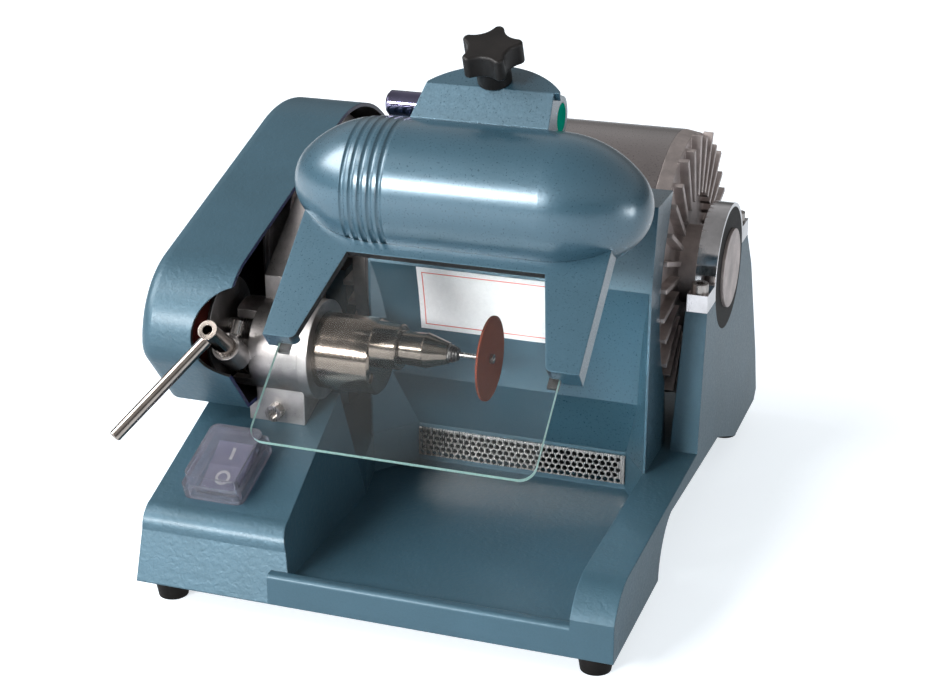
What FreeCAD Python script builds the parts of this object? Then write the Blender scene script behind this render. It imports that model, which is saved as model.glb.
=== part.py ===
import FreeCAD, Part
import math
import os

import Sketcher
from FreeCAD import Placement, Rotation, Vector

# A bench grinder and polisher for small dental work, with a belt driven collet spindle,
# a dust tray, a lamp hood with a glass shield and a rubber hung motor behind the chamber wall.
# Bench places: x from the middle of the base to the right, y from the front edge of the base
# to the back, z up from the bench top. Lengths are in millimetres, angles in degrees.
SIZES = {
    # base casting and its feet
    "base_width": 230.0,
    "base_depth": 311.0,
    "casting_wall": 4.0,
    "foot_height": 11.5,
    "foot_top_radius": 9.0,
    "foot_tip_radius": 7.0,
    "foot_side_inset": 11.5,
    "foot_front_inset": 14.0,
    "foot_rear_inset": 31.0,
    "lip_height": 26.5,
    "lip_depth": 9.0,
    "tray_height": 23.0,
    "pod_width": 71.0,
    "pod_height": 43.0,
    "pod_setback": 10.5,
    "pod_depth": 99.0,
    "pod_tilt": 20.0,
    "pod_nose_tilt": 15.0,
    "pod_draft_tilt": 14.0,
    "bend_radius": 12.0,
    "rail_width": 20.0,
    "rail_height": 43.4,
    "rail_nose_height": 30.0,
    "rail_nose_depth": 22.0,
    "rear_setback": 9.0,
    "rear_toe_height": 5.0,
    "arch_front": 80.0,
    "arch_rear": 253.0,
    "arch_height": 37.0,
    "arch_rise_run": 22.0,
    "arch_rear_drop": 6.0,
    "arch_rear_run": 47.0,
    "side_opening_width": 35.0,
    "foot_boss_height": 12.0,
    # chamber between the pod and the rail
    "chamber_left": -45.0,
    "chamber_front": 125.0,
    "chamber_back": 146.0,
    "left_cheek_run": 17.0,
    "right_cheek_run": 14.0,
    "wall_sheet": 3.0,
    "wall_top": 176.0,
    "wall_top_back": 161.0,
    "wall_shoulder_depth": 146.5,
    "wall_shoulder_height": 136.0,
    "wall_lean_depth": 134.0,
    "wall_lean_height": 75.0,
    "wall_flange_depth": 158.8,
    "wall_foot_depth": 165.0,
    "grille_thickness": 1.2,
    "grille_hole": 2.5,
    "grille_pitch": 3.25,
    "label_width": 70.0,
    "label_height": 34.0,
    "label_thickness": 0.6,
    "label_left": -21.0,
    "label_bottom": 101.8,
    # motor, its cradles and clamps
    "motor_y": 212.0,
    "motor_z": 122.5,
    "motor_radius": 67.5,
    "cover_sheet": 1.6,
    "cap_depth": 12.0,
    "cap_gap": 6.7,
    "cap_fin_height": 5.0,
    "cap_fin_thickness": 2.4,
    "cap_fin_stagger": 3.0,
    "cap_fin_count": 30.0,
    "hub_radius": 20.0,
    "hub_proud": 1.5,
    "rubber_radius": 31.0,
    "strap_thickness": 2.0,
    "strap_ear_height": 9.0,
    "left_cradle_x": -85.0,
    "cradle_foot_thickness": 14.0,
    "cradle_top_thickness": 10.3,
    "cradle_foot_depth": 155.0,
    "cradle_front_ledge": 18.3,
    "cradle_front_height": 115.0,
    "cradle_rear_ledge": 15.0,
    "cradle_rear_height": 125.6,
    "cradle_back_depth": 274.0,
    "cradle_back_height": 104.0,
    "motor_shaft_radius": 7.0,
    "motor_bearing_radius": 16.0,
    "motor_bearing_width": 9.0,
    "rotor_radius": 38.0,
    "rotor_length": 70.0,
    "air_gap": 0.6,
    "motor_pulley_radius": 56.0,
    "pulley_rim": 4.0,
    "pulley_web": 5.0,
    "pulley_width": 14.0,
    "pulley_flange": 1.5,
    "belt_width": 11.0,
    "belt_thickness": 2.4,
    "belt_gap": 0.3,
    "pulley_x": -115.6,
    # headstock and spindle
    "spindle_y": 83.8,
    "spindle_z": 110.4,
    "barrel_y": 90.0,
    "barrel_z": 101.5,
    "barrel_radius": 22.7,
    "barrel_left": -85.5,
    "barrel_right": -54.5,
    "barrel_flange_width": 5.0,
    "barrel_flange_radius": 24.2,
    "ring_radius": 22.0,
    "ring_wall": 4.0,
    "ring_length": 10.5,
    "headstock_foot_front": 75.5,
    "headstock_foot_width": 25.0,
    "headstock_toe_width": 4.0,
    "headstock_arm_length": 45.0,
    "headstock_arm_height": 24.0,
    "headstock_arm_width": 15.0,
    "arm_tilt": 35.6,
    "cartridge_radius": 18.5,
    "cartridge_right": -25.5,
    "nose_radius": 11.0,
    "nose_neck_radius": 8.1,
    "nose_shoulder": -12.5,
    "cone_start": -0.2,
    "cone_end": 10.8,
    "cone_tip_radius": 4.6,
    "shaft_radius": 4.2,
    "shaft_right": 11.5,
    "bearing_radius": 6.8,
    "bearing_width": 7.0,
    "running_clearance": 0.05,
    "spindle_pulley_radius": 20.0,
    "drawbar_radius": 1.8,
    "drawbar_head_radius": 3.6,
    "drawbar_head_length": 3.0,
    "drawbar_travel": 2.2,
    "spring_length": 5.0,
    "collet_reach": 15.3,
    "collet_radius": 3.4,
    "collet_head_radius": 4.2,
    "collet_tip_radius": 3.0,
    "mandrel_radius": 1.18,
    "mandrel_length": 38.0,
    "disc_x": 30.0,
    "disc_radius": 20.0,
    "disc_thickness": 1.0,
    "disc_screw_radius": 2.2,
    "disc_screw_height": 1.6,
    # release lever
    "lever_x": -91.1,
    "lever_front_y": 38.4,
    "lever_front_z": 126.1,
    "lever_tilt": 40.0,
    "lever_hub_radius": 4.7,
    "lever_hub_bore": 2.4,
    "lever_hub_length": 44.0,
    "lever_bush_start": 23.0,
    "lever_bush_length": 15.0,
    "lever_bush_wall": 1.0,
    "lever_lug_wall": 1.2,
    "rod_station": 6.0,
    "rod_radius": 3.0,
    "rod_length": 65.0,
    "rod_tilt": 57.7,
    "lever_screw_radius": 3.0,
    "lever_screw_height": 7.0,
    "cam_pin_radius": 1.5,
    "cam_pin_offset": 2.5,
    "cam_pin_length": 6.0,
    "cam_pin_room": 0.5,
    "collar_radius": 5.9,
    "collar_width": 9.0,
    # belt guard
    "guard_left": -130.0,
    "guard_rim_x": -86.0,
    "guard_sheet": 2.0,
    "guard_front_radius": 42.2,
    "guard_rear_y": 207.0,
    "guard_rear_z": 121.0,
    "guard_rear_radius": 69.0,
    "guard_bottom": 76.2,
    "guard_toe_y": 67.0,
    "guard_toe_tilt": 25.0,
    "guard_chin_radius": 14.0,
    "guard_chin_rise": 3.5,
    "guard_belly_y": 104.0,
    "guard_edge_radius": 7.0,
    "guard_notch_radius": 21.5,
    "guard_notch_x": -80.7,
    "guard_notch_z": 120.5,
    # lamp hood
    "hood_y": 80.0,
    "hood_z": 191.0,
    "hood_radius": 31.0,
    "hood_left": -17.8,
    "hood_right": 62.3,
    "hood_end_length": 43.7,
    "hood_tip_radius": 22.0,
    "hood_wall": 2.5,
    "hood_slot_width": 36.0,
    "groove_left": -28.3,
    "groove_pitch": 4.5,
    "groove_radius": 1.7,
    "skirt_tilt": 40.0,
    "skirt_margin_left": 5.9,
    "skirt_margin_right": 9.9,
    "skirt_top": 6.0,
    "skirt_reach": 83.5,
    "skirt_plate": 3.5,
    "skirt_depth": 10.0,
    "skirt_flange": 3.0,
    "window_top": 37.2,
    "window_half": 46.2,
    "window_flare": 10.8,
    "leg_chamfer": 3.0,
    "glass_width": 129.2,
    "glass_left": -46.8,
    "glass_top": 31.5,
    "glass_reach": 131.5,
    "glass_thickness": 2.5,
    "glass_drop": 6.5,
    "glass_corner": 7.0,
    "clip_thickness": 1.6,
    "clip_width": 5.0,
    "clip_length": 7.0,
    "lamp_radius": 8.0,
    "lamp_length": 70.0,
    "lamp_holder_width": 9.0,
    "reflector_radius": 16.0,
    "reflector_sheet": 1.0,
    # hood hinge
    "hinge_y": 108.5,
    "hinge_z": 221.2,
    "hinge_left": -27.4,
    "axle_radius": 6.0,
    "hinge_block_left": -10.0,
    "hinge_block_right": 55.5,
    "hinge_block_radius": 9.8,
    "hinge_block_lean": 5.5,
    "crest_left": -4.5,
    "crest_right": 58.0,
    "stud_boss_radius": 6.5,
    "hinge_face_bottom_y": 88.5,
    "hinge_face_bottom_z": 220.3,
    "hinge_face_top_y": 96.5,
    "hinge_face_top_z": 235.4,
    "crest_tilt": 23.0,
    "crest_depth": 16.7,
    "crest_thickness": 4.0,
    "plug_radius": 6.8,
    "plug_depth": 4.0,
    "arm_lug_radius": 8.2,
    "arm_lug_width": 26.0,
    "arm_lug_x": 28.5,
    "arm_room": 0.5,
    "arm_thickness": 9.0,
    "arm_foot_depth": 24.0,
    "arm_foot_height": 5.0,
    "slot_tilt": 10.0,
    "knob_x": 26.3,
    "knob_radius": 14.5,
    "knob_valley_radius": 10.0,
    "knob_tip_round": 2.6,
    "knob_height": 11.0,
    "knob_phase": 16.2,
    "knob_neck_radius": 7.8,
    "knob_neck_height": 8.5,
    "stud_radius": 3.0,
    # switch
    "switch_x": -84.8,
    "switch_y": 40.5,
    "switch_width": 27.0,
    "switch_length": 36.0,
    "boot_height": 13.0,
    "boot_wall": 1.2,
    "boot_step": 2.0,
    "rocker_width": 18.0,
    "rocker_length": 26.0,
    "rocker_height": 8.0,
    "switch_body_depth": 22.0,
    # dust way, mains inlet and capacitor
    "duct_width": 100.0,
    "duct_height": 21.0,
    "duct_sheet": 1.5,
    "spigot_radius": 14.0,
    "spigot_wall": 2.0,
    "spigot_length": 30.0,
    "inlet_x": -66.0,
    "inlet_width": 28.0,
    "inlet_height": 20.0,
    "inlet_depth": 20.0,
    "capacitor_radius": 12.0,
    "capacitor_length": 60.0,
    # screws
    "screw_radius": 2.5,
    "screw_head_radius": 4.2,
    "screw_head_height": 4.5,
    "screw_socket_radius": 2.2,
    "screw_length": 12.0,
    "edge_round": 1.2,
    "overrun": 40.0,
}

LOBE_COUNT = 5
BEAD_COUNT = 4
COLLET_STEPS = 3

# How much of the rear arm's height lies below the barrel's top, how deep the hood's grooves
# stand off its surface, and where the grub screw sits in the cartridge's face.
HEAD_SHARES = {"arm_sunk": 0.5, "groove_off": 0.55, "grub_front": 0.79, "grub_down": 0.29}


class Size:
    """A length or angle that carries its number and its formula in the sheet."""

    def __init__(self, value, formula):
        self.value = value
        self.formula = formula

    def _join(self, other, sign, value):
        return Size(value, "(%s %s %s)" % (self.formula, sign, formula_of(other)))

    def __add__(self, other):
        return self._join(other, "+", self.value + value_of(other))

    def __sub__(self, other):
        return self._join(other, "-", self.value - value_of(other))

    def __mul__(self, other):
        return self._join(other, "*", self.value * value_of(other))

    def __truediv__(self, other):
        return self._join(other, "/", self.value / value_of(other))

    def __radd__(self, other):
        return Size(other + self.value, "(%s + %s)" % (other, self.formula))

    def __rsub__(self, other):
        return Size(other - self.value, "(%s - %s)" % (other, self.formula))

    def __rmul__(self, other):
        return Size(other * self.value, "(%s * %s)" % (other, self.formula))

    def __neg__(self):
        return Size(-self.value, "(0 - %s)" % self.formula)


def value_of(item):
    return item.value if isinstance(item, Size) else float(item)


def formula_of(item):
    return item.formula if isinstance(item, Size) else "(%r)" % float(item)


def sine(angle):
    return Size(math.sin(math.radians(value_of(angle))), "sin(%s)" % formula_of(angle))


def cosine(angle):
    return Size(math.cos(math.radians(value_of(angle))), "cos(%s)" % formula_of(angle))


def tangent(angle):
    return Size(math.tan(math.radians(value_of(angle))), "tan(%s)" % formula_of(angle))


def root(size):
    return Size(math.sqrt(value_of(size)), "sqrt(%s)" % formula_of(size))


class Sheet:
    """Reads named sizes from the spreadsheet as Size values."""

    def __init__(self, cells):
        self.cells = cells

    def __getattr__(self, alias):
        return Size(float(self.cells.get(alias)), "%s.%s" % (self.cells.Name, alias))


doc = FreeCAD.newDocument("lathe")
cells = doc.addObject("Spreadsheet::Sheet", "Sizes")
for row, (alias, number) in enumerate(SIZES.items(), start=1):
    cells.set("A%d" % row, alias)
    cells.set("B%d" % row, "%r" % number)
    cells.setAlias("B%d" % row, alias)
for row, alias in enumerate(("origin_x", "origin_y"), start=len(SIZES) + 1):
    cells.set("A%d" % row, alias)
    cells.set("B%d" % row, "0")
    cells.setAlias("B%d" % row, alias)
doc.recompute()
size = Sheet(cells)

nodes = []
places = {}

# Turns that lay a shape's own z axis along another axis.
UPRIGHT = Rotation()
ALONG_X = Rotation(Vector(0, 1, 0), 90)
ALONG_Y = Rotation(Vector(1, 0, 0), -90)


def bind(feature, **lengths):
    for name, length in lengths.items():
        if isinstance(length, Size):
            feature.setExpression(name, length.formula)
        else:
            setattr(feature, name, length)


def place(feature, x=0, y=0, z=0, turn=UPRIGHT):
    """Puts a feature at a bench place with its base bound to the sheet."""
    feature.Placement = Placement(Vector(value_of(x), value_of(y), value_of(z)), turn)
    for axis, length in zip("xyz", (x, y, z)):
        feature.setExpression("Placement.Base." + axis, formula_of(length))
    places[feature.Name] = (x, y, z)
    return feature


def node(label, feature):
    """Names a finished sub-part and lets it follow the part's origin."""
    feature.Label = label
    x, y, z = places.get(feature.Name, (0, 0, 0))
    for axis, length in zip("xyz", (x + size.origin_x, y + size.origin_y, z)):
        feature.setExpression("Placement.Base." + axis, formula_of(length))
    nodes.append(feature)
    return feature


def rod(name, radius, length, x=0, y=0, z=0, turn=UPRIGHT):
    feature = doc.addObject("Part::Cylinder", name)
    bind(feature, Radius=radius, Height=length)
    return place(feature, x, y, z, turn)


def block(name, x_range, y_range, z_range):
    """A box between two limits on each bench axis."""
    feature = doc.addObject("Part::Box", name)
    (x0, x1), (y0, y1), (z0, z1) = x_range, y_range, z_range
    bind(feature, Length=x1 - x0, Width=y1 - y0, Height=z1 - z0)
    return place(feature, x0, y0, z0)


def ball(name, radius, x, y, z):
    feature = doc.addObject("Part::Sphere", name)
    bind(feature, Radius=radius)
    return place(feature, x, y, z)


def ring(name, major, minor, x, y, z, turn=ALONG_X):
    feature = doc.addObject("Part::Torus", name)
    bind(feature, Radius1=major, Radius2=minor)
    return place(feature, x, y, z, turn)


def cut(name, base, *tools):
    feature = doc.addObject("Part::Cut", name)
    feature.Base = base
    feature.Tool = tools[0] if len(tools) == 1 else fuse(name + "_tools", *tools)
    feature.Refine = len(tools) == 1
    return feature


def fuse(name, *parts):
    feature = doc.addObject("Part::MultiFuse", name)
    feature.Shapes = list(parts)
    return feature


def common(name, first, second):
    feature = doc.addObject("Part::Common", name)
    feature.Base = first
    feature.Tool = second
    return feature


def gather(name, parts):
    """Separate solids of one kind in one node."""
    feature = doc.addObject("Part::Compound", name)
    feature.Links = list(parts)
    return feature


def origin_plane(body, role):
    return [item for item in body.Origin.OriginFeatures if item.Role == role][0]


def arc_through(start, end, radius, side):
    """A circle's arc from start to end with its centre on the left (+1) or right (-1)."""
    chord = end - start
    middle = (start + end) * 0.5
    rise = math.sqrt(max(radius ** 2 - (chord.Length / 2) ** 2, 0))
    across = Vector(-chord.y, chord.x, 0).normalize()
    centre = middle + across * rise * side
    circle = Part.Circle(centre, Vector(0, 0, 1), radius)
    first, last = (start, end) if side > 0 else (end, start)
    angles = [math.atan2(p.y - centre.y, p.x - centre.x) for p in (first, last)]
    return Part.ArcOfCircle(circle, angles[0], angles[1])


def draw(body, role, outline):
    """A closed sketch through points (u, v); (u, v, radius, side) arrives there on an arc."""
    sketch = body.newObject("Sketcher::SketchObject", body.Name + "_sketch")
    sketch.AttachmentSupport = [(origin_plane(body, role), "")]
    sketch.MapMode = "FlatFace"
    corners = [Vector(value_of(step[0]), value_of(step[1]), 0) for step in outline]
    count = len(outline)
    ends = []
    for index, step in enumerate(outline):
        start, end = corners[index - 1], corners[index]
        if len(step) == 2:
            sketch.addGeometry(Part.LineSegment(start, end), False)
            ends.append((1, 2))
        else:
            sketch.addGeometry(arc_through(start, end, value_of(step[2]), step[3]), False)
            ends.append((1, 2) if step[3] > 0 else (2, 1))
            limit = sketch.addConstraint(Sketcher.Constraint("Radius", index, value_of(step[2])))
            sketch.setExpression("Constraints[%d]" % limit, formula_of(step[2]))
    for index, step in enumerate(outline):
        following = (index + 1) % count
        joint = ("Coincident", index, ends[index][1], following, ends[following][0])
        sketch.addConstraint(Sketcher.Constraint(*joint))
        for kind, length in (("DistanceX", step[0]), ("DistanceY", step[1])):
            fixed = Sketcher.Constraint(kind, index, ends[index][1], value_of(length))
            number = sketch.addConstraint(fixed)
            if isinstance(length, Size):
                sketch.setExpression("Constraints[%d]" % number, length.formula)
    return sketch


def slab(name, role, outline, start, thickness):
    """A flat outline on an origin plane, thickened along the plane's bench axis from start."""
    body = doc.addObject("PartDesign::Body", name)
    sketch = draw(body, role, outline)
    backwards = role == "XZ_Plane"
    offset = -start if backwards else start
    sketch.setExpression("AttachmentOffset.Base.z", formula_of(offset))
    pad = body.newObject("PartDesign::Pad", name + "_pad")
    pad.Profile = sketch
    bind(pad, Length=thickness)
    pad.Reversed = backwards
    return body


def turned(name, profile, x=0, y=0, z=0, turn=UPRIGHT):
    """A lathe-turned piece: (station, radius) points turned about the bench x axis."""
    body = doc.addObject("PartDesign::Body", name)
    sketch = draw(body, "XZ_Plane", profile)
    revolution = body.newObject("PartDesign::Revolution", name + "_turned")
    revolution.Profile = sketch
    revolution.ReferenceAxis = (sketch, ["H_Axis"])
    revolution.Angle = 360
    return place(body, x, y, z, turn)


def stepped(start, radius, *steps):
    """Stations and radii of a solid bar: each step is (next station, radius up to it)."""
    points = [(start, 0), (start, radius)]
    for station, next_radius in steps:
        points.append((points[-1][0], next_radius))
        points.append((station, next_radius))
    points.append((points[-1][0], 0))
    kept = []
    for point in points:
        if not kept or abs(value_of(point[0]) - value_of(kept[-1][0])) > TINY \
                or abs(value_of(point[1]) - value_of(kept[-1][1])) > TINY:
            kept.append(point)
    return kept


TINY = 1e-7


def pipe(name, outer, inner, x_start, length, y, z):
    """A plain ring or tube along the bench x axis."""
    profile = [(0, inner), (length, inner), (length, outer), (0, outer)]
    return turned(name, profile, x_start, y, z)


def tube_cut(name, outer, inner, length, x, y, z, turn):
    """A ring or tube along any direction."""
    return cut(name, rod(name + "_outer", outer, length, x, y, z, turn),
               rod(name + "_bore", inner, length, x, y, z, turn))


def rounded(name, feature, radius, wanted):
    """Rounds the edges that the test picks."""
    doc.recompute()
    fillet = doc.addObject("Part::Fillet", name)
    fillet.Base = feature
    amount = value_of(radius)
    fillet.Edges = [(number, amount, amount)
                    for number, edge in enumerate(feature.Shape.Edges, start=1) if wanted(edge)]
    return fillet


def at_x(edge, x):
    """True where the whole edge lies in the plane at x."""
    box = edge.BoundBox
    return max(abs(box.XMin - value_of(x)), abs(box.XMax - value_of(x))) < TINY_LENGTH


def along_x(edge):
    """True for a straight edge that runs along the bench x axis."""
    box = edge.BoundBox
    return box.XLength > TINY_LENGTH and max(box.YLength, box.ZLength) < TINY_LENGTH


TINY_LENGTH = 1e-4

# Shared places
half_width = size.base_width / 2
right_side = half_width
left_side = -half_width
pod_inner = left_side + size.pod_width
rail_inner = right_side - size.rail_width
right_cap_face = right_side - size.cradle_top_thickness - size.cap_gap
left_cap_face = size.left_cradle_x + size.cradle_top_thickness + size.cap_gap
cradle_front = size.motor_y - size.rubber_radius - size.cradle_front_ledge
cradle_rear = size.motor_y + size.rubber_radius + size.cradle_rear_ledge
spindle_at = (size.spindle_y, size.spindle_z)
motor_at = (size.motor_y, size.motor_z)


def pod_top(y):
    """Height of the pod's sloping top at a depth."""
    return size.pod_height + (y - size.pod_setback) * tangent(size.pod_tilt)


def make_base():
    """Casting with the switch pod, dust tray, side rail, rear deck and two motor cradles."""
    foot = size.foot_height
    draft = tangent(size.pod_draft_tilt)
    pod_foot = pod_inner + (size.pod_height - size.tray_height) * draft
    bend = size.bend_radius * tangent(size.pod_tilt + size.pod_nose_tilt)
    bend_y = size.pod_setback + bend * 0.9
    pod = slab("pod_block", "YZ_Plane", [
        (0, foot),
        (size.pod_setback - bend * 0.25, size.pod_height - bend),
        (bend_y, pod_top(bend_y), size.bend_radius, -1),
        (size.pod_depth, pod_top(size.pod_depth)),
        (size.pod_depth, foot)], left_side, pod_foot - left_side)
    lean = (pod_top(size.pod_depth) + size.overrun - size.tray_height) * draft
    trim = slab("pod_trim", "XZ_Plane", [
        (pod_foot, size.tray_height),
        (pod_foot + size.overrun, size.tray_height),
        (pod_foot + size.overrun, pod_top(size.pod_depth) + size.overrun),
        (pod_foot - lean, pod_top(size.pod_depth) + size.overrun)],
        -size.overrun, size.pod_depth + size.overrun * 2)
    wall = size.casting_wall
    pod_room = slab("pod_room", "YZ_Plane", [
        (wall, foot),
        (size.pod_setback + wall, size.pod_height - wall * 2),
        (size.pod_depth - wall, pod_top(size.pod_depth) - wall * 2),
        (size.pod_depth - wall, foot)], left_side + wall, size.pod_width - wall * 3)
    rear = size.base_depth
    rail = slab("side_rail", "YZ_Plane", [
        (0, foot),
        (0, size.rail_nose_height),
        (size.rail_nose_depth, size.rail_height, size.rail_nose_depth * 1.15, -1),
        (rear - size.rear_setback, size.rail_height),
        (rear, foot + size.rear_toe_height),
        (rear - size.rear_toe_height, foot),
        (size.arch_rear, foot),
        (size.arch_rear - size.arch_rear_run, size.arch_height - size.arch_rear_drop),
        (size.arch_front + size.arch_rise_run, size.arch_height),
        (size.arch_front, foot, size.arch_rise_run * 1.2, 1)],
        rail_inner, size.rail_width)
    tray = slab("tray_block", "YZ_Plane", [
        (0, foot),
        (0, size.lip_height - size.lip_depth / 4),
        (size.lip_depth / 4, size.lip_height, size.lip_depth / 4, -1),
        (size.lip_depth / 2, size.lip_height),
        (size.lip_depth, size.tray_height, size.lip_depth, -1),
        (size.chamber_back + wall, size.tray_height),
        (size.chamber_back + wall, foot)], pod_inner - wall, rail_inner - pod_inner + wall * 2)
    tray_room = block("tray_room", (pod_inner + wall, rail_inner),
                      (wall * 1.5, size.chamber_back), (foot - wall, size.tray_height - wall))
    deck = block("rear_deck", (left_side, rail_inner + wall),
                 (size.pod_depth, rear - size.rear_setback), (foot, size.rail_height))
    deck_room = block("deck_room", (left_side + wall, rail_inner),
                      (size.chamber_back + wall, rear - size.rear_setback - wall),
                      (foot - wall, size.rail_height - wall))
    chamber = slab("tray_recess", "XY_Plane", [
        (pod_foot, size.lip_depth),
        (rail_inner, size.lip_depth),
        (rail_inner, size.chamber_front),
        (rail_inner - size.right_cheek_run, size.chamber_back),
        (size.chamber_left + size.left_cheek_run, size.chamber_back),
        (size.chamber_left, size.chamber_front),
        (pod_foot, size.pod_depth)], size.tray_height, size.overrun)
    side_left = rail_inner - size.side_opening_width
    side_low = block("side_room_front", (side_left, rail_inner + wall),
                     (size.arch_front, size.chamber_back + wall * 2),
                     (foot - wall, size.tray_height - wall))
    side_high = block("side_room_rear", (side_left, rail_inner + wall),
                      (size.chamber_back + wall, size.arch_rear),
                      (foot - wall, size.rail_height - wall))
    nose_room = block("nose_room", (rail_inner + wall, right_side - wall),
                      (size.foot_front_inset + size.foot_top_radius + wall,
                       size.arch_front - wall * 2),
                      (foot - wall, size.rail_nose_height - wall))
    bosses = [rod("foot_boss_%d" % index, size.foot_top_radius, size.foot_boss_height, x, y, foot)
              for index, (x, y) in enumerate(foot_places())]
    cradles = []
    for outer, inward in ((right_side, -1), (size.left_cradle_x, 1)):
        cradles.append(make_cradle(outer, inward))
    grille_slot = block("grille_slot", (size.chamber_left + size.left_cheek_run, rail_inner
                        - size.right_cheek_run), (size.chamber_back - wall, size.chamber_back
                        + wall * 2), (size.tray_height + wall * 0.8, size.rail_height - wall / 2))
    solid = fuse("base_solid", cut("pod_shape", pod, trim), rail, tray, deck, *cradles)
    y_spigot = rear - size.rear_setback - wall * 2
    spigot_hole = rod("spigot_hole", spigot_seat(), wall * 4, duct_middle(), y_spigot,
                      spigot_height(), ALONG_Y)
    inlet_hole = block("inlet_hole", (size.inlet_x - size.inlet_width / 2,
                       size.inlet_x + size.inlet_width / 2), (y_spigot, y_spigot + wall * 4),
                       (inlet_bottom(), inlet_bottom() + size.inlet_height))
    switch_hole = switch_box("switch_hole", size.rocker_width + size.boot_wall * 2,
                             size.rocker_length + size.boot_wall * 2, -size.casting_wall * 3,
                             size.casting_wall * 5)
    cover_seat = block("cover_seat", (left_side + wall, duct_middle() + size.air_gap),
                       (wall * 1.5, rear - size.rear_setback - wall),
                       (foot - wall, foot + size.duct_sheet))
    hollow = cut("base_hollow", solid, cover_seat, pod_room, tray_room, deck_room, side_low, side_high,
                 nose_room)
    base = cut("base_casting", fuse("base_with_bosses", hollow, *bosses), chamber, grille_slot,
               spigot_hole, inlet_hole, switch_hole)
    node("base_casting", base)


def make_cradle(outer, inward):
    """One motor cradle: a tapered upright with a round saddle for the rubber hub."""
    reach = size.cradle_foot_thickness
    start = outer - reach if inward < 0 else outer
    name = "right_cradle" if inward < 0 else "left_cradle"
    rear = size.base_depth
    upright = slab(name, "YZ_Plane", [
        (size.cradle_foot_depth, size.rail_height - size.casting_wall),
        (cradle_front, size.cradle_front_height),
        (size.motor_y, size.cradle_front_height),
        (size.motor_y, size.cradle_rear_height),
        (cradle_rear, size.cradle_rear_height),
        (size.cradle_back_depth, size.cradle_back_height),
        (rear - size.rear_setback, size.rail_height),
        (rear - size.rear_setback, size.rail_height - size.casting_wall)], start, reach)
    inner = outer + reach * inward
    top_inner = outer + size.cradle_top_thickness * inward
    beyond = size.cradle_rear_height + size.overrun
    lean = (inner - top_inner) / (size.cradle_rear_height - size.rail_height)
    taper = slab(name + "_taper", "XZ_Plane", [
        (inner, size.rail_height),
        (inner - lean * (beyond - size.rail_height), beyond),
        (inner + size.overrun * inward, beyond),
        (inner + size.overrun * inward, size.rail_height)],
        size.cradle_foot_depth - size.overrun, rear)
    saddle = rod(name + "_saddle", size.rubber_radius, reach * 3, start - reach, *motor_at, ALONG_X)
    return cut(name + "_shape", upright, taper, saddle)


def strap_radius():
    return size.rubber_radius + size.strap_thickness


def spigot_height():
    return size.foot_height + size.spigot_radius + size.spigot_wall


def spigot_seat():
    """Radius of the spigot where it sits in the base's rear wall."""
    return size.spigot_radius - size.spigot_wall / 2


def inlet_bottom():
    return size.foot_height + size.casting_wall


def duct_middle():
    left = size.chamber_left + size.left_cheek_run
    return (left + rail_inner - size.right_cheek_run) / 2


def switch_box(name, width, length, bottom, height, grow=0):
    """A box square to the pod's sloping top, centred on the switch, from bottom up."""
    slope = value_of(size.pod_tilt)
    feature = doc.addObject("Part::Box", name)
    bind(feature, Length=width, Width=length, Height=height)
    up_y, up_z = -sine(size.pod_tilt), cosine(size.pod_tilt)
    back = -length / 2
    x = size.switch_x - width / 2
    y = size.switch_y + up_z * back + up_y * bottom
    z = pod_top(size.switch_y) - up_y * back + up_z * bottom
    return place(feature, x, y, z, Rotation(Vector(1, 0, 0), slope))


def foot_places():
    return [(x, y) for x in (left_side + size.foot_side_inset, right_side - size.foot_side_inset)
            for y in (size.foot_front_inset, size.base_depth - size.foot_rear_inset)]


def make_feet():
    """Four tapered rubber feet."""
    feet = []
    for index, (x, y) in enumerate(foot_places()):
        foot = doc.addObject("Part::Cone", "foot_%d" % index)
        bind(foot, Radius1=size.foot_tip_radius, Radius2=size.foot_top_radius,
             Height=size.foot_height)
        feet.append(place(foot, x, y, 0))
    node("rubber_feet", gather("feet", feet))


def make_bottom_cover():
    """Sheet cover that closes the base from below, clear of the side arch."""
    sheet_height = size.duct_sheet
    wall = size.casting_wall
    gap = size.air_gap
    plate = block("cover_plate", (left_side + wall + gap, duct_middle()),
                  (wall * 1.5 + gap, size.base_depth - size.rear_setback - wall - gap),
                  (size.foot_height, size.foot_height + sheet_height))
    holes = [rod("cover_hole_%d" % index, size.foot_top_radius + gap, sheet_height * 3, x, y,
                 size.foot_height - sheet_height)
             for index, (x, y) in enumerate(foot_places()[:2])]
    node("bottom_cover", cut("cover", plate, *holes))


def wall_front():
    """Depth and height points of the chamber wall's leaning front, from the deck up."""
    return [(size.chamber_back, size.rail_height),
            (size.wall_lean_depth, size.wall_lean_height),
            (size.chamber_front, size.wall_shoulder_height, size.overrun * 6, 1)]


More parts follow.
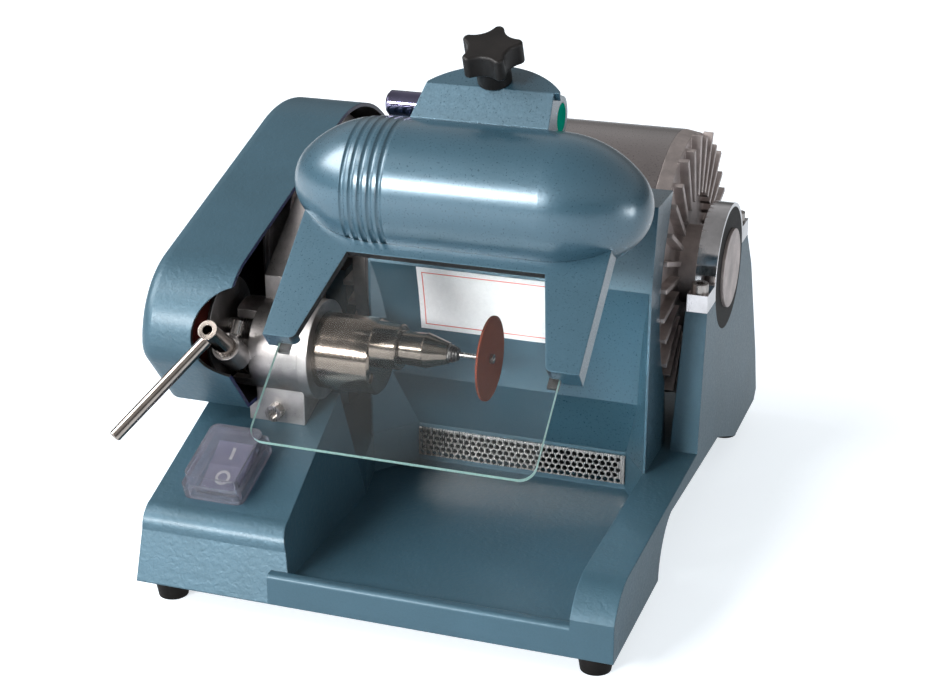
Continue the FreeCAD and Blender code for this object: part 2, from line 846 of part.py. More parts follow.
def make_wall():
    """Blue cowl in front of the motor, recessed between two slanted cheeks."""
    sheet = size.wall_sheet
    clear = size.motor_radius + size.wall_sheet / 2
    arc_low = size.motor_z - root(clear * clear
                                  - (size.motor_y - size.wall_flange_depth)
                                  * (size.motor_y - size.wall_flange_depth))
    arc_high = size.motor_z + root(clear * clear
                                   - (size.motor_y - size.wall_shoulder_depth)
                                   * (size.motor_y - size.wall_shoulder_depth))
    left = size.chamber_left - 1 * size.edge_round
    right = rail_inner + size.edge_round
    outline = [
        (size.chamber_front, size.rail_height),
        (size.chamber_front, size.wall_shoulder_height),
        (size.chamber_front + sheet * 2.5, size.wall_top),
        (size.wall_top_back, size.wall_top),
        (size.wall_shoulder_depth, arc_high),
        (size.wall_flange_depth, arc_low, clear, 1),
        (size.wall_foot_depth, size.rail_height)]
    outer = slab("wall_block", "YZ_Plane", outline, left, right - left)
    wedge = slab("wall_wedge", "YZ_Plane", [
        (size.chamber_front - size.overrun, size.rail_height)] + wall_front() + [
        (size.chamber_front - size.overrun, size.wall_shoulder_height)],
        left, right - left)
    recess = slab("wall_recess", "XY_Plane", [
        (size.chamber_left, size.chamber_front),
        (size.chamber_left + size.left_cheek_run, size.chamber_back),
        (rail_inner - size.right_cheek_run, size.chamber_back),
        (rail_inner, size.chamber_front)], size.rail_height, size.wall_top)
    front = common("wall_front", wedge, recess)
    inner_points = [
        (size.chamber_back + sheet, size.rail_height - sheet),
        (size.wall_lean_depth + sheet, size.wall_lean_height),
        (size.chamber_front + sheet, size.wall_shoulder_height - sheet, size.overrun * 6, 1),
        (size.chamber_front + sheet * 3, size.wall_top - sheet),
        (size.wall_shoulder_depth + size.overrun, size.wall_top - sheet),
        (size.wall_shoulder_depth + size.overrun, size.rail_height - sheet)]
    middle = slab("wall_room", "YZ_Plane", inner_points,
                  size.chamber_left + size.left_cheek_run,
                  rail_inner - size.right_cheek_run - size.chamber_left - size.left_cheek_run)
    pockets = []
    for side, start, end in (("left", left + sheet, size.chamber_left + size.left_cheek_run),
                             ("right", rail_inner - size.right_cheek_run, right - sheet)):
        pockets.append(block("wall_room_" + side, (start, end),
                             (size.chamber_back + sheet, size.chamber_back + size.overrun),
                             (size.rail_height - sheet, size.wall_top - sheet * 4)))
    motor_room = rod("wall_motor_room", clear, right - left, left, *motor_at, ALONG_X)
    shell = cut("wall_shell", outer, front, middle, motor_room, *pockets)
    node("chamber_wall", shell)


def make_grille():
    """Perforated steel strip at the back of the tray, with staggered round holes."""
    left = size.chamber_left + size.left_cheek_run
    right = rail_inner - size.right_cheek_run
    low = size.tray_height + size.casting_wall * 0.8
    high = size.rail_height - size.casting_wall / 2
    plate = block("grille_plate", (left, right),
                  (size.chamber_back - size.grille_thickness, size.chamber_back), (low, high))
    pitch = size.grille_pitch
    row_rise = pitch * cosine(30)
    rows = int(value_of((high - low) / row_rise))
    columns = int(value_of((right - left) / pitch))
    holes = []
    for row in range(rows):
        for column in range(columns - row % 2):
            x = left + pitch * (column + 0.5 + 0.5 * (row % 2))
            z = low + row_rise * (row + 0.55)
            centre = Vector(value_of(x), value_of(size.chamber_back) + value_of(pitch),
                            value_of(z))
            holes.append(Part.makeCylinder(value_of(size.grille_hole) / 2,
                                           value_of(pitch) * 3, centre, Vector(0, -1, 0)))
    doc.recompute()
    feature = doc.addObject("Part::Feature", "grille_holes")
    feature.Shape = Part.makeCompound(holes)
    node("dust_grille", cut("grille", plate, feature))


def make_label():
    """Blank plate on the chamber wall, bent to the wall's face."""
    left = size.label_left
    top_z = size.label_bottom + size.label_height
    strip = slab("label_strip", "YZ_Plane", [
        (size.wall_lean_depth - size.overrun, size.label_bottom),
        (size.wall_lean_depth + size.overrun, size.label_bottom),
        (size.wall_lean_depth + size.overrun, top_z),
        (size.wall_lean_depth - size.overrun, top_z)], left, size.label_width)
    lift = size.label_thickness
    skin = slab("label_skin", "YZ_Plane", [
        (size.wall_lean_depth, size.wall_lean_height),
        (size.chamber_front, size.wall_shoulder_height, size.overrun * 6, 1),
        (size.chamber_front - lift, size.wall_shoulder_height),
        (size.wall_lean_depth - lift, size.wall_lean_height, size.overrun * 6, -1)],
        left, size.label_width)
    node("label_plate", common("label", strip, skin))


def make_dust_way():
    """Sheet duct under the deck from the grille to the hose spigot at the rear."""
    sheet = size.duct_sheet
    left = duct_middle() - size.duct_width / 2
    right = left + size.duct_width
    front = size.chamber_back + size.casting_wall * 2
    back = size.base_depth - size.rear_setback - size.casting_wall
    low = size.foot_height + sheet + size.label_thickness
    high = low + size.duct_height
    box_outer = block("duct_outer", (left, right), (front, back), (low, high))
    box_inner = block("duct_inner", (left + sheet, right - sheet),
                      (front - sheet, back - sheet), (low + sheet, high - sheet))
    mouth = block("duct_mouth", (left + sheet, right - sheet), (front - sheet, front + sheet * 8),
                  (low + sheet, high + sheet))
    bore = rod("duct_bore", size.spigot_radius - size.spigot_wall * 2, sheet * 4,
               duct_middle(), back - sheet * 2, spigot_height(), ALONG_Y)
    node("suction_duct", cut("duct", box_outer, box_inner, mouth, bore))
    turn = Rotation(Vector(0, 0, 1), 90)
    spigot = turned("spigot", [
        (0, size.spigot_radius - size.spigot_wall),
        (size.spigot_length, size.spigot_radius - size.spigot_wall),
        (size.spigot_length, spigot_seat()),
        (size.spigot_length - size.spigot_wall, size.spigot_radius),
        (size.casting_wall, size.spigot_radius),
        (size.casting_wall, spigot_seat()),
        (0, spigot_seat())], duct_middle(), back, spigot_height(), turn)
    node("hose_spigot", spigot)


def make_motor_case():
    """Sheet cover, finned end caps, stator, bearings and the rubber hung hubs."""
    y, z = motor_at
    cover_left = left_cap_face + size.cap_depth
    cover_right = right_cap_face - size.cap_depth
    node("motor_cover", pipe("cover", size.motor_radius, size.motor_radius - size.cover_sheet,
                             cover_left, cover_right - cover_left, y, z))
    bore = size.motor_shaft_radius + size.running_clearance
    for side, face, inward, hub_end in (
            ("left", left_cap_face, 1, size.left_cradle_x - size.hub_proud),
            ("right", right_cap_face, -1, right_side + size.hub_proud)):
        make_end_cap(side, face, inward, hub_end, bore)
    middle = (cover_left + cover_right) / 2
    stator_length = size.rotor_length
    node("stator", pipe("stator_ring", size.motor_radius - size.cover_sheet,
                        size.rotor_radius + size.air_gap, middle - stator_length / 2,
                        stator_length, y, z))
    bearings = []
    for side, face, inward in (("left", left_cap_face, 1), ("right", right_cap_face, -1)):
        inner_face = face + size.cap_depth * inward
        start = inner_face if inward > 0 else inner_face - size.motor_bearing_width
        bearings.append(pipe("motor_bearing_" + side, size.motor_bearing_radius, bore, start,
                             size.motor_bearing_width, y, z))
    node("motor_bearings", gather("motor_bearing_pair", bearings))
    rubbers, straps = [], []
    for side, outer, inward in (("left", size.left_cradle_x, 1), ("right", right_side, -1)):
        start = outer if inward > 0 else outer - size.cradle_top_thickness
        rubbers.append(pipe("rubber_" + side, size.rubber_radius, size.hub_radius, start,
                            size.cradle_top_thickness, y, z))
        straps.append(make_strap(side, start))
    node("hub_rubbers", gather("rubber_pair", rubbers))
    node("hub_clamps", gather("strap_pair", straps))


def make_end_cap(side, face, inward, hub_end, bore):
    """Die-cast end cap with radial fins, a bearing seat and the hub that the rubber grips."""
    y, z = motor_at
    inner_face = face + size.cap_depth * inward
    seat_end = inner_face + size.motor_bearing_width * inward
    plate = face + size.cap_fin_height * inward
    through = side == "left"
    tip = [(hub_end, bore)] if through else [(hub_end, 0)]
    core = [] if through else [(plate, 0), (plate, bore)]
    wall = size.casting_wall
    profile = core + [
        (inner_face, bore), (inner_face, size.motor_bearing_radius),
        (seat_end, size.motor_bearing_radius),
        (seat_end, size.motor_bearing_radius + wall),
        (inner_face, size.motor_bearing_radius + wall),
        (inner_face, size.motor_radius),
        (plate, size.motor_radius - size.edge_round),
        (plate, strap_radius() + size.cap_gap), (plate, size.hub_radius),
        (hub_end, size.hub_radius)] + tip
    cap = turned("cap_" + side, profile, 0, y, z)
    root_radius = strap_radius() + size.cap_gap / 2
    start = plate if inward < 0 else face
    fins = []
    for index in range(int(value_of(size.cap_fin_count))):
        angle = 360.0 / int(value_of(size.cap_fin_count)) * index
        shortfall = size.cap_fin_stagger * (index % 2)
        fin = doc.addObject("Part::Box", "fin_%s_%d" % (side, index))
        bind(fin, Length=size.cap_fin_height, Width=size.cap_fin_thickness,
             Height=size.motor_radius - shortfall - root_radius)
        turn = Rotation(Vector(1, 0, 0), angle)
        half = size.cap_fin_thickness / 2
        place(fin, start,
              y - half * cosine(angle) - root_radius * sine(angle),
              z - half * sine(angle) + root_radius * cosine(angle), turn)
        fins.append(fin)
    node("motor_cap_" + side, fuse("finned_cap_" + side, cap, *fins))


def make_strap(side, start):
    """Bright steel strap over the rubber, with an ear at each end."""
    y, z = motor_at
    width = size.cradle_top_thickness
    band = pipe("band_" + side, strap_radius(), size.rubber_radius, start, width, y, z)
    keep = slab("band_keep_" + side, "YZ_Plane", [
        (y - strap_radius() * 2, size.cradle_front_height),
        (y, size.cradle_front_height),
        (y, size.cradle_rear_height),
        (y + strap_radius() * 2, size.cradle_rear_height),
        (y + strap_radius() * 2, z + strap_radius() * 2),
        (y - strap_radius() * 2, z + strap_radius() * 2)], start, width)
    ears = []
    for end, seat, low, high in (
            ("front", size.cradle_front_height, cradle_front, y),
            ("rear", size.cradle_rear_height, y, cradle_rear)):
        ears.append(block("ear_%s_%s" % (end, side), (start, start + width), (low, high),
                          (seat, seat + size.strap_ear_height)))
    hollow = rod("band_hollow_" + side, size.rubber_radius, width * 3, start - width, y, z,
                 ALONG_X)
    return cut("strap_" + side,
               fuse("strap_solid_" + side, common("band_top_" + side, band, keep), *ears), hollow)


def make_rotor():
    """Rotor core, shaft and the large driving pulley."""
    y, z = motor_at
    middle = (left_cap_face + right_cap_face) / 2
    half = size.rotor_length / 2
    node("rotor_core", pipe("rotor", size.rotor_radius, size.motor_shaft_radius, middle - half,
                            size.rotor_length, y, z))
    right_end = right_cap_face - size.cap_fin_height - size.air_gap
    left_end = size.pulley_x - size.pulley_flange
    shaft = rod("motor_bar", size.motor_shaft_radius, right_end - left_end, left_end, y, z,
                ALONG_X)
    node("motor_shaft", shaft)
    node("motor_pulley", make_pulley("big_pulley", size.motor_pulley_radius,
                                     size.motor_shaft_radius, y, z, True))


def make_pulley(name, radius, bore, y, z, hollow):
    """Flanged belt pulley on the belt line; a large one has a thin web."""
    x = size.pulley_x
    edge = size.pulley_flange
    outer = radius + size.belt_thickness + size.belt_gap + edge
    width = size.pulley_width
    profile = [(0, bore), (width, bore)]
    if hollow:
        hub = bore * 2
        inner = radius - size.pulley_rim
        profile += [(width, hub), (size.pulley_web, hub), (size.pulley_web, inner),
                    (width, inner)]
    profile += [(width, outer), (width - edge, outer), (width - edge, radius), (edge, radius),
                (edge, outer), (0, outer)]
    return turned(name, profile, x, y, z)


def tangent_line(first, first_radius, second, second_radius, side):
    """Ends of the outer tangent of two circles, above (+1) or below (-1) their centres."""
    run_y, run_z = second[0] - first[0], second[1] - first[1]
    span = root(run_y * run_y + run_z * run_z)
    across = (second_radius - first_radius) / span
    along = root(1 - across * across) * side
    normal_y = -(run_y / span) * across - run_z / span * along
    normal_z = run_y / span * along - run_z / span * across
    return ((first[0] + first_radius * normal_y, first[1] + first_radius * normal_z),
            (second[0] + second_radius * normal_y, second[1] + second_radius * normal_z))


def belt_loop(name, extra, start, width):
    """Solid loop around both pulleys, grown by extra: two circles and their outer tangents."""
    big = size.motor_pulley_radius + extra
    small = size.spindle_pulley_radius + extra
    top_small, top_big = tangent_line(spindle_at, small, motor_at, big, 1)
    low_small, low_big = tangent_line(spindle_at, small, motor_at, big, -1)
    strip = slab(name + "_strip", "YZ_Plane", [top_small, low_small, low_big, top_big],
                 start, width)
    return fuse(name, strip, rod(name + "_big", big, width, start, *motor_at, ALONG_X),
                rod(name + "_small", small, width, start, *spindle_at, ALONG_X))


def make_belt():
    """Flat belt, with a small gap to the pulleys that turn inside it."""
    start = size.pulley_x + (size.pulley_width - size.belt_width) / 2
    gap = size.belt_gap
    outer = belt_loop("belt_outer", gap + size.belt_thickness, start, size.belt_width)
    inner = belt_loop("belt_inner", gap, start, size.belt_width)
    node("drive_belt", cut("belt", outer, inner))


def make_headstock():
    """Cast barrel that clamps the cartridge, with its foot, rear arm and lever lug."""
    y, z = size.barrel_y, size.barrel_z
    left, right = size.barrel_left, size.barrel_right
    ring_left = left - size.ring_length
    ring_bore = size.ring_radius - size.ring_wall
    barrel = turned("barrel", [
        (ring_left, ring_bore), (left, ring_bore), (left, size.cartridge_radius),
        (right, size.cartridge_radius), (right, size.barrel_flange_radius),
        (right - size.barrel_flange_width, size.barrel_flange_radius),
        (right - size.barrel_flange_width, size.barrel_radius), (left, size.barrel_radius),
        (left, size.ring_radius), (ring_left, size.ring_radius)], 0, y, z)
    front = size.headstock_foot_front
    back = size.pod_depth
    foot_left = size.guard_rim_x + size.air_gap
    foot = slab("headstock_foot", "YZ_Plane", [
        (front, pod_top(front)), (front, z - size.barrel_radius / 2), (back, z),
        (back, pod_top(back))], foot_left, size.headstock_foot_width)
    toe_top = size.guard_bottom - size.air_gap / 2
    toe = slab("headstock_toe", "YZ_Plane", [
        (front, pod_top(front)), (front, toe_top), (back, toe_top), (back, pod_top(back))],
        foot_left - size.headstock_toe_width, size.headstock_toe_width)
    slope = tangent(size.arm_tilt)
    arm_end = y + size.headstock_arm_length
    arm_low = z + size.barrel_radius - size.headstock_arm_height * HEAD_SHARES["arm_sunk"]
    arm = slab("headstock_arm", "YZ_Plane", [
        (y, arm_low), (arm_end, arm_low + size.headstock_arm_length * slope),
        (arm_end, arm_low + size.headstock_arm_length * slope + size.headstock_arm_height),
        (y, arm_low + size.headstock_arm_height)], left, size.headstock_arm_width)
    hx, hy, hz, turn = lever_point(size.lever_bush_start)
    lug_radius = size.lever_hub_radius + size.lever_bush_wall + size.lever_lug_wall
    lug = rod("lever_lug", lug_radius, size.lever_bush_length, hx, hy, hz, turn)
    bush_radius = size.lever_hub_radius + size.lever_bush_wall
    lug_bore = rod("lever_lug_bore", bush_radius, size.lever_bush_length + size.edge_round * 2,
                   *lever_point(size.lever_bush_start - size.edge_round))
    screw_hole = rod("lever_screw_hole", size.lever_screw_radius * 0.6, lug_radius,
                     *lever_screw_place(bush_radius), lever_up())
    bore = rod("headstock_bore", size.cartridge_radius, right - left, left, y, z, ALONG_X)
    ring_room = rod("ring_room", ring_bore, size.ring_length, ring_left, y, z, ALONG_X)
    notch = block("ring_notch", (ring_left - size.edge_round, left),
                  (y - size.barrel_radius * 2, y - size.ring_radius * 0.45),
                  (z - size.ring_radius * 0.55, z + size.ring_radius * 2))
    body = cut("headstock_body", fuse("headstock_core", barrel, foot, toe, arm), notch)
    node("headstock", cut("headstock_casting", fuse("headstock_solid", body, lug), bore,
                          ring_room, lug_bore, screw_hole))


def lever_turn():
    """Turn that lays a shape's z axis down the lever hub, from its front end inwards."""
    tilt = math.radians(value_of(size.lever_tilt))
    return Rotation(Vector(0, 0, 1), Vector(0, math.cos(tilt), -math.sin(tilt)))


def lever_up():
    """Turn that lays a shape's z axis square off the lever hub, upwards."""
    return Rotation(Vector(1, 0, 0), -value_of(size.lever_tilt))


def lever_screw_place(across):
    """Bench place on the bush screw's line, at a distance from the lever hub's line."""
    return lever_point(size.lever_bush_start + size.lever_bush_length / 2, across)[:3]


def lever_box(name, x_range, across_range, station_range):
    """A box square to the lever hub, between limits along x, up from the hub and along it."""
    (x0, x1), (a0, a1), (s0, s1) = x_range, across_range, station_range
    feature = doc.addObject("Part::Box", name)
    bind(feature, Length=x1 - x0, Width=a1 - a0, Height=s1 - s0)
    place_at = lever_point(s1, a0, x0)[:3]
    return place(feature, *place_at, Rotation(Vector(1, 0, 0), 90 - value_of(size.lever_tilt)))


def lever_point(station, across=0, sideways=0):
    """Bench place on the lever hub's line, with offsets up the swing plane and along x."""
    y = (size.lever_front_y + station * cosine(size.lever_tilt)
         + across * sine(size.lever_tilt))
    z = (size.lever_front_z - station * sine(size.lever_tilt)
         + across * cosine(size.lever_tilt))
    return size.lever_x + sideways, y, z, lever_turn()


def make_cartridge():
    """Eccentric cartridge in the barrel, the spindle nose, the bearings and a screw."""
    y, z = size.barrel_y, size.barrel_z
    left = size.barrel_left
    body = turned("cartridge_body", [
        (left, 0), (size.cartridge_right, 0),
        (size.cartridge_right, size.cartridge_radius - size.edge_round),
        (size.cartridge_right - size.edge_round, size.cartridge_radius),
        (left, size.cartridge_radius)], 0, y, z)
    room = rod("cartridge_room", size.bearing_radius, size.cartridge_right - left, left,
               *spindle_at, ALONG_X)
    hole_z = z - size.cartridge_radius * HEAD_SHARES["grub_down"]
    hole_y = y - size.cartridge_radius * HEAD_SHARES["grub_front"]
    pin_hole = rod("cartridge_hole", size.screw_radius, size.screw_length,
                   size.cartridge_right - size.screw_length, hole_y, hole_z, ALONG_X)
    node("spindle_cartridge", cut("cartridge", body, room, pin_hole))
    node("cartridge_screw", cut("grub", rod("grub_body", size.screw_radius, size.screw_length
                                            - size.edge_round,
                                            size.cartridge_right - size.screw_length,
                                            hole_y, hole_z, ALONG_X),
                                rod("grub_socket", size.screw_radius / 2, size.screw_radius,
                                    size.cartridge_right - size.edge_round - size.screw_radius,
                                    hole_y, hole_z, ALONG_X)))
    clear = size.shaft_radius + size.running_clearance * 2
    start, shoulder = size.cartridge_right, size.nose_shoulder
    chamfer = size.edge_round / 2
    node("spindle_nose", turned("nose", [
        (start, clear), (size.cone_end, clear), (size.cone_end, size.cone_tip_radius
                                                 + size.running_clearance * 8),
        (size.cone_start, size.nose_neck_radius + chamfer / 2),
        (size.cone_start - chamfer, size.nose_neck_radius),
        (shoulder, size.nose_neck_radius), (shoulder, size.nose_radius - chamfer),
        (shoulder - chamfer, size.nose_radius), (start, size.nose_radius)], 0, *spindle_at))
    bearings = []
    for side, x in (("left", left), ("right", size.cartridge_right - size.bearing_width)):
        bearings.append(pipe("spindle_bearing_" + side, size.bearing_radius,
                             size.shaft_radius + size.running_clearance, x, size.bearing_width,
                             *spindle_at))
    node("spindle_bearings", gather("spindle_bearing_pair", bearings))


def make_spindle():
    """Hollow spindle with its pulley, drawbar, spring stack, collet, mandrel and disc."""
    y, z = spindle_at
    left = size.pulley_x - size.pulley_flange
    bore = size.drawbar_radius + size.running_clearance
    collet_room = size.collet_radius
    room_start = size.shaft_right - size.collet_reach
    node("spindle_shaft", turned("spindle_bar", [
        (left, bore), (room_start, bore), (room_start, collet_room),
        (size.shaft_right, collet_room), (size.shaft_right, size.shaft_radius - size.edge_round / 4),
        (size.shaft_right - size.edge_round, size.shaft_radius), (left, size.shaft_radius)],
        0, y, z))
    node("spindle_pulley", make_pulley("small_pulley", size.spindle_pulley_radius,
                                       size.shaft_radius, y, z, False))
    tip = size.collet_reach
    step = (tip - size.shaft_right) / COLLET_STEPS
    fall = (size.collet_head_radius - size.collet_tip_radius) / (COLLET_STEPS - 1)
    profile = [(room_start + size.edge_round, size.mandrel_radius), (tip, size.mandrel_radius)]
    for index in range(COLLET_STEPS):
        radius = size.collet_tip_radius + fall * index
        profile += [(tip - step * index, radius), (tip - step * (index + 1), radius)]
    profile += [(size.shaft_right, size.collet_radius),
                (room_start + size.edge_round, size.collet_radius)]
    node("collet", turned("collet_body", profile, 0, y, z))
    mandrel_start = room_start + size.edge_round * 2
    node("mandrel", turned("mandrel_body", stepped(
        mandrel_start, size.mandrel_radius,
        (size.disc_x - size.disc_screw_height, size.mandrel_radius),
        (size.disc_x, size.disc_screw_radius)), 0, y, z))
    node("cutting_disc", pipe("disc_blank", size.disc_radius, size.mandrel_radius, size.disc_x,
                              size.disc_thickness, y, z))
    face = size.disc_x + size.disc_thickness
    head = size.disc_screw_height
    screw = turned("disc_screw_body", stepped(
        size.disc_x, size.mandrel_radius, (face, size.mandrel_radius),
        (face + head, size.disc_screw_radius)), 0, y, z)
    slot = block("disc_screw_slot", (face + head / 2, face + head * 2),
                 (y - size.disc_screw_radius * 2, y + size.disc_screw_radius * 2),
                 (z - head / 5, z + head / 5))
    node("disc_screw", cut("disc_screw_cut", screw, slot))
    spring_start = left - size.spring_length
    head_start = spring_start - size.drawbar_travel - size.drawbar_head_length
    node("drawbar", turned("drawbar_body", stepped(
        head_start, size.drawbar_head_radius,
        (head_start + size.drawbar_head_length, size.drawbar_head_radius),
        (room_start + size.edge_round - size.drawbar_travel, size.drawbar_radius)), 0, y, z))
    node("disc_springs", pipe("spring_stack", size.shaft_radius, bore + size.running_clearance,
                              spring_start, size.spring_length, y, z))


def make_release():
    """Quick release: hub with its cam pin, lever rod, bush, screw and sliding collar."""
    point = lever_point(0)
    hub = cut("hub_tube", rod("hub_bar", size.lever_hub_radius, size.lever_hub_length, *point),
              rod("hub_bore", size.lever_hub_bore, size.lever_hub_length * 0.6, *point))
    pin = rod("cam_pin", size.cam_pin_radius, size.cam_pin_length,
              *lever_point(size.lever_hub_length, -size.cam_pin_offset))
    swing = value_of(size.rod_tilt)
    tilt = value_of(size.lever_tilt)
    across = Vector(0, math.sin(math.radians(tilt)), math.cos(math.radians(tilt)))
    direction = (Vector(-1, 0, 0) * math.cos(math.radians(swing))
                 - across * math.sin(math.radians(swing)))
    station = lever_point(size.rod_station)[:3]
    rod_turn = Rotation(Vector(0, 0, 1), direction)
    seat = size.lever_hub_bore
    lever = turned("lever_bar", [
        (seat, 0), (size.rod_length - size.edge_round / 2, 0),
        (size.rod_length, 0), (size.rod_length, size.rod_radius - size.edge_round / 2),
        (size.rod_length - size.edge_round / 2, size.rod_radius), (seat, size.rod_radius)],
        *station, Rotation(Vector(1, 0, 0), direction))
    socket = rod("rod_socket", size.rod_radius, size.lever_hub_radius * 2, *station, rod_turn)
    node("lever_hub", cut("hub", fuse("hub_with_pin", hub, pin), socket))
    node("lever_rod", lever)
    node("lever_bush", tube_cut("bush", size.lever_hub_radius + size.lever_bush_wall,
                                size.lever_hub_radius + size.running_clearance,
                                size.lever_bush_length, *lever_point(size.lever_bush_start)))
    bush_radius = size.lever_hub_radius + size.lever_bush_wall
    lug_radius = bush_radius + size.lever_lug_wall
    stem = rod("lever_screw_stem", size.lever_screw_radius * 0.6,
               size.lever_lug_wall + size.lever_screw_height, *lever_screw_place(bush_radius),
               lever_up())
    cap = rod("lever_screw_cap", size.lever_screw_radius, size.lever_screw_height,
              *lever_screw_place(lug_radius + size.edge_round), lever_up())
    node("lever_screw", fuse("lever_screw_solid", stem, cap))
    y, z = spindle_at
    width = size.collar_width
    start = size.lever_x - width / 2
    end = size.barrel_left - size.drawbar_travel - size.air_gap / 2
    sleeve = rod("collar_sleeve", size.collar_radius, end - start, start, y, z, ALONG_X)
    run_y, run_z = y - size.lever_front_y, z - size.lever_front_z
    rise = run_y * sine(size.lever_tilt) + run_z * cosine(size.lever_tilt)
    low = size.cam_pin_offset + size.cam_pin_radius
    first = size.lever_hub_length + size.cam_pin_room
    tongue = lever_box("collar_tongue", (-width / 2, end - size.lever_x), (-low, rise),
                       (first, first + size.cam_pin_length))
    half_slot = size.cam_pin_radius + size.cam_pin_room
    slot = lever_box("collar_slot", (-half_slot, half_slot), (-low * 2, half_slot),
                     (first - half_slot, first + size.cam_pin_length + half_slot))
    bore = rod("collar_bore", size.shaft_radius + size.cam_pin_room, width * 3, start - width,
               y, z, ALONG_X)
    node("release_collar", cut("collar", fuse("collar_solid", sleeve, tongue), bore, slot))


def touch_point(centre, radius, point, side):
    """Where a line from a point touches a circle, on its left (+1) or right (-1) side."""
    run_y, run_z = point[0] - centre[0], point[1] - centre[1]
    square = run_y * run_y + run_z * run_z
    along = radius * radius / square
    across = radius * root(square - radius * radius) / square * side
    return (centre[0] + along * run_y - across * run_z,
            centre[1] + along * run_z + across * run_y)


def guard_outline(inset):
    """Side outline of the belt guard, moved inwards by inset."""
    small = size.guard_front_radius - inset
    big = size.guard_rear_radius - inset
    chin = size.guard_chin_radius - inset
    sy, sz = spindle_at
    rear = (size.guard_rear_y, size.guard_rear_z)
    low = size.guard_bottom + inset
    toe = (size.guard_toe_y + inset * tangent(size.guard_toe_tilt), low)
    aside, up = -cosine(size.guard_chin_rise), sine(size.guard_chin_rise)
    chin_centre = (sy + (small - chin) * aside, sz + (small - chin) * up)
    front_end, rear_start = tangent_line(spindle_at, small, rear, big, 1)
    belly = (size.guard_belly_y, low)
    return [
        toe, touch_point(chin_centre, chin, toe, -1),
        (sy + small * aside, sz + small * up, chin, -1),
        front_end + (small, -1),
        rear_start,
        (size.guard_rear_y + big, size.guard_rear_z, big, -1),
        touch_point(rear, big, belly, 1) + (big, -1),
        belly]


def make_guard():
    """Belt guard: a deep pan open to the right, with a notch for the release lever."""
    left, rim, sheet = size.guard_left, size.guard_rim_x, size.guard_sheet
    outer = slab("guard_outer", "YZ_Plane", guard_outline(size.edge_round * 0), left, rim - left)
    soft = rounded("guard_soft", outer, size.guard_edge_radius, lambda edge: at_x(edge, left))
    inner = slab("guard_inner", "YZ_Plane", guard_outline(sheet), left + sheet,
                 rim - left + size.overrun)
    soft_inner = rounded("guard_soft_inner", inner, size.guard_edge_radius - sheet,
                         lambda edge: at_x(edge, left + sheet))
    notch = rod("guard_notch", size.guard_notch_radius, size.spindle_y - size.ring_radius
                - size.overrun / 4 + size.overrun / 4, size.guard_notch_x,
                size.guard_toe_y - size.overrun, size.guard_notch_z, ALONG_Y)
    node("belt_guard", cut("guard", cut("guard_pan", soft, soft_inner), notch))


def skirt_place(along, above, x):
    """Bench place from the hood's axis: down the skirt, square off it, and along x."""
    y = size.hood_y - along * cosine(size.skirt_tilt) - above * sine(size.skirt_tilt)
    z = size.hood_z - along * sine(size.skirt_tilt) + above * cosine(size.skirt_tilt)
    return x, y, z


def skirt_turn():
    """Turn that lays local x on x, y up the skirt and z square off it."""
    return Rotation(Vector(1, 0, 0), value_of(size.skirt_tilt))


def skirt_body(name, outline, bottom, height):
    """A flat piece in the skirt's plane; outline is (x, distance down the skirt)."""
    body = doc.addObject("PartDesign::Body", name)
    sketch = draw(body, "XY_Plane", [(step[0], -step[1]) + tuple(step[2:]) for step in outline])
    pad = body.newObject("PartDesign::Pad", name + "_pad")
    pad.Profile = sketch
    bind(pad, Length=height)
    x, y, z = skirt_place(size.edge_round * 0, bottom, 0)
    return place(body, x, y, z, skirt_turn())


def hood_flank():
    """Radius of the wide arc of the shell's oval ends, tangent to the tube and the tip's arc."""
    length, radius, tip = size.hood_end_length, size.hood_radius, size.hood_tip_radius
    return (length * length + radius * radius - length * tip * 2) / ((radius - tip) * 2)


def hood_radius_at(x):
    """The shell's outer radius at a place along its tube or on its left end's wide arc."""
    beyond, flank = size.hood_left - x, hood_flank()
    if beyond.value <= 0:
        return size.hood_radius
    return size.hood_radius - flank + root(flank * flank - beyond * beyond)


def hood_form(name, inset=0):
    """The lamp shell's form, or one inside it: a tube whose oval ends are two arcs each."""
    length, radius, tip = size.hood_end_length, size.hood_radius, size.hood_tip_radius
    flank = hood_flank()
    span = flank - tip
    tip_at = length - tip
    joint = tip_at + tip_at / span * (tip - inset)
    joint_radius = (flank - radius) / span * (tip - inset)
    left, right = size.hood_left, size.hood_right
    return turned(name, [
        (left - length + inset, 0),
        (left - joint, joint_radius, tip - inset, -1),
        (left, radius - inset, flank - inset, -1),
        (right, radius - inset),
        (right + joint, joint_radius, flank - inset, -1),
        (right + length - inset, 0, tip - inset, -1)], 0, size.hood_y, size.hood_z)


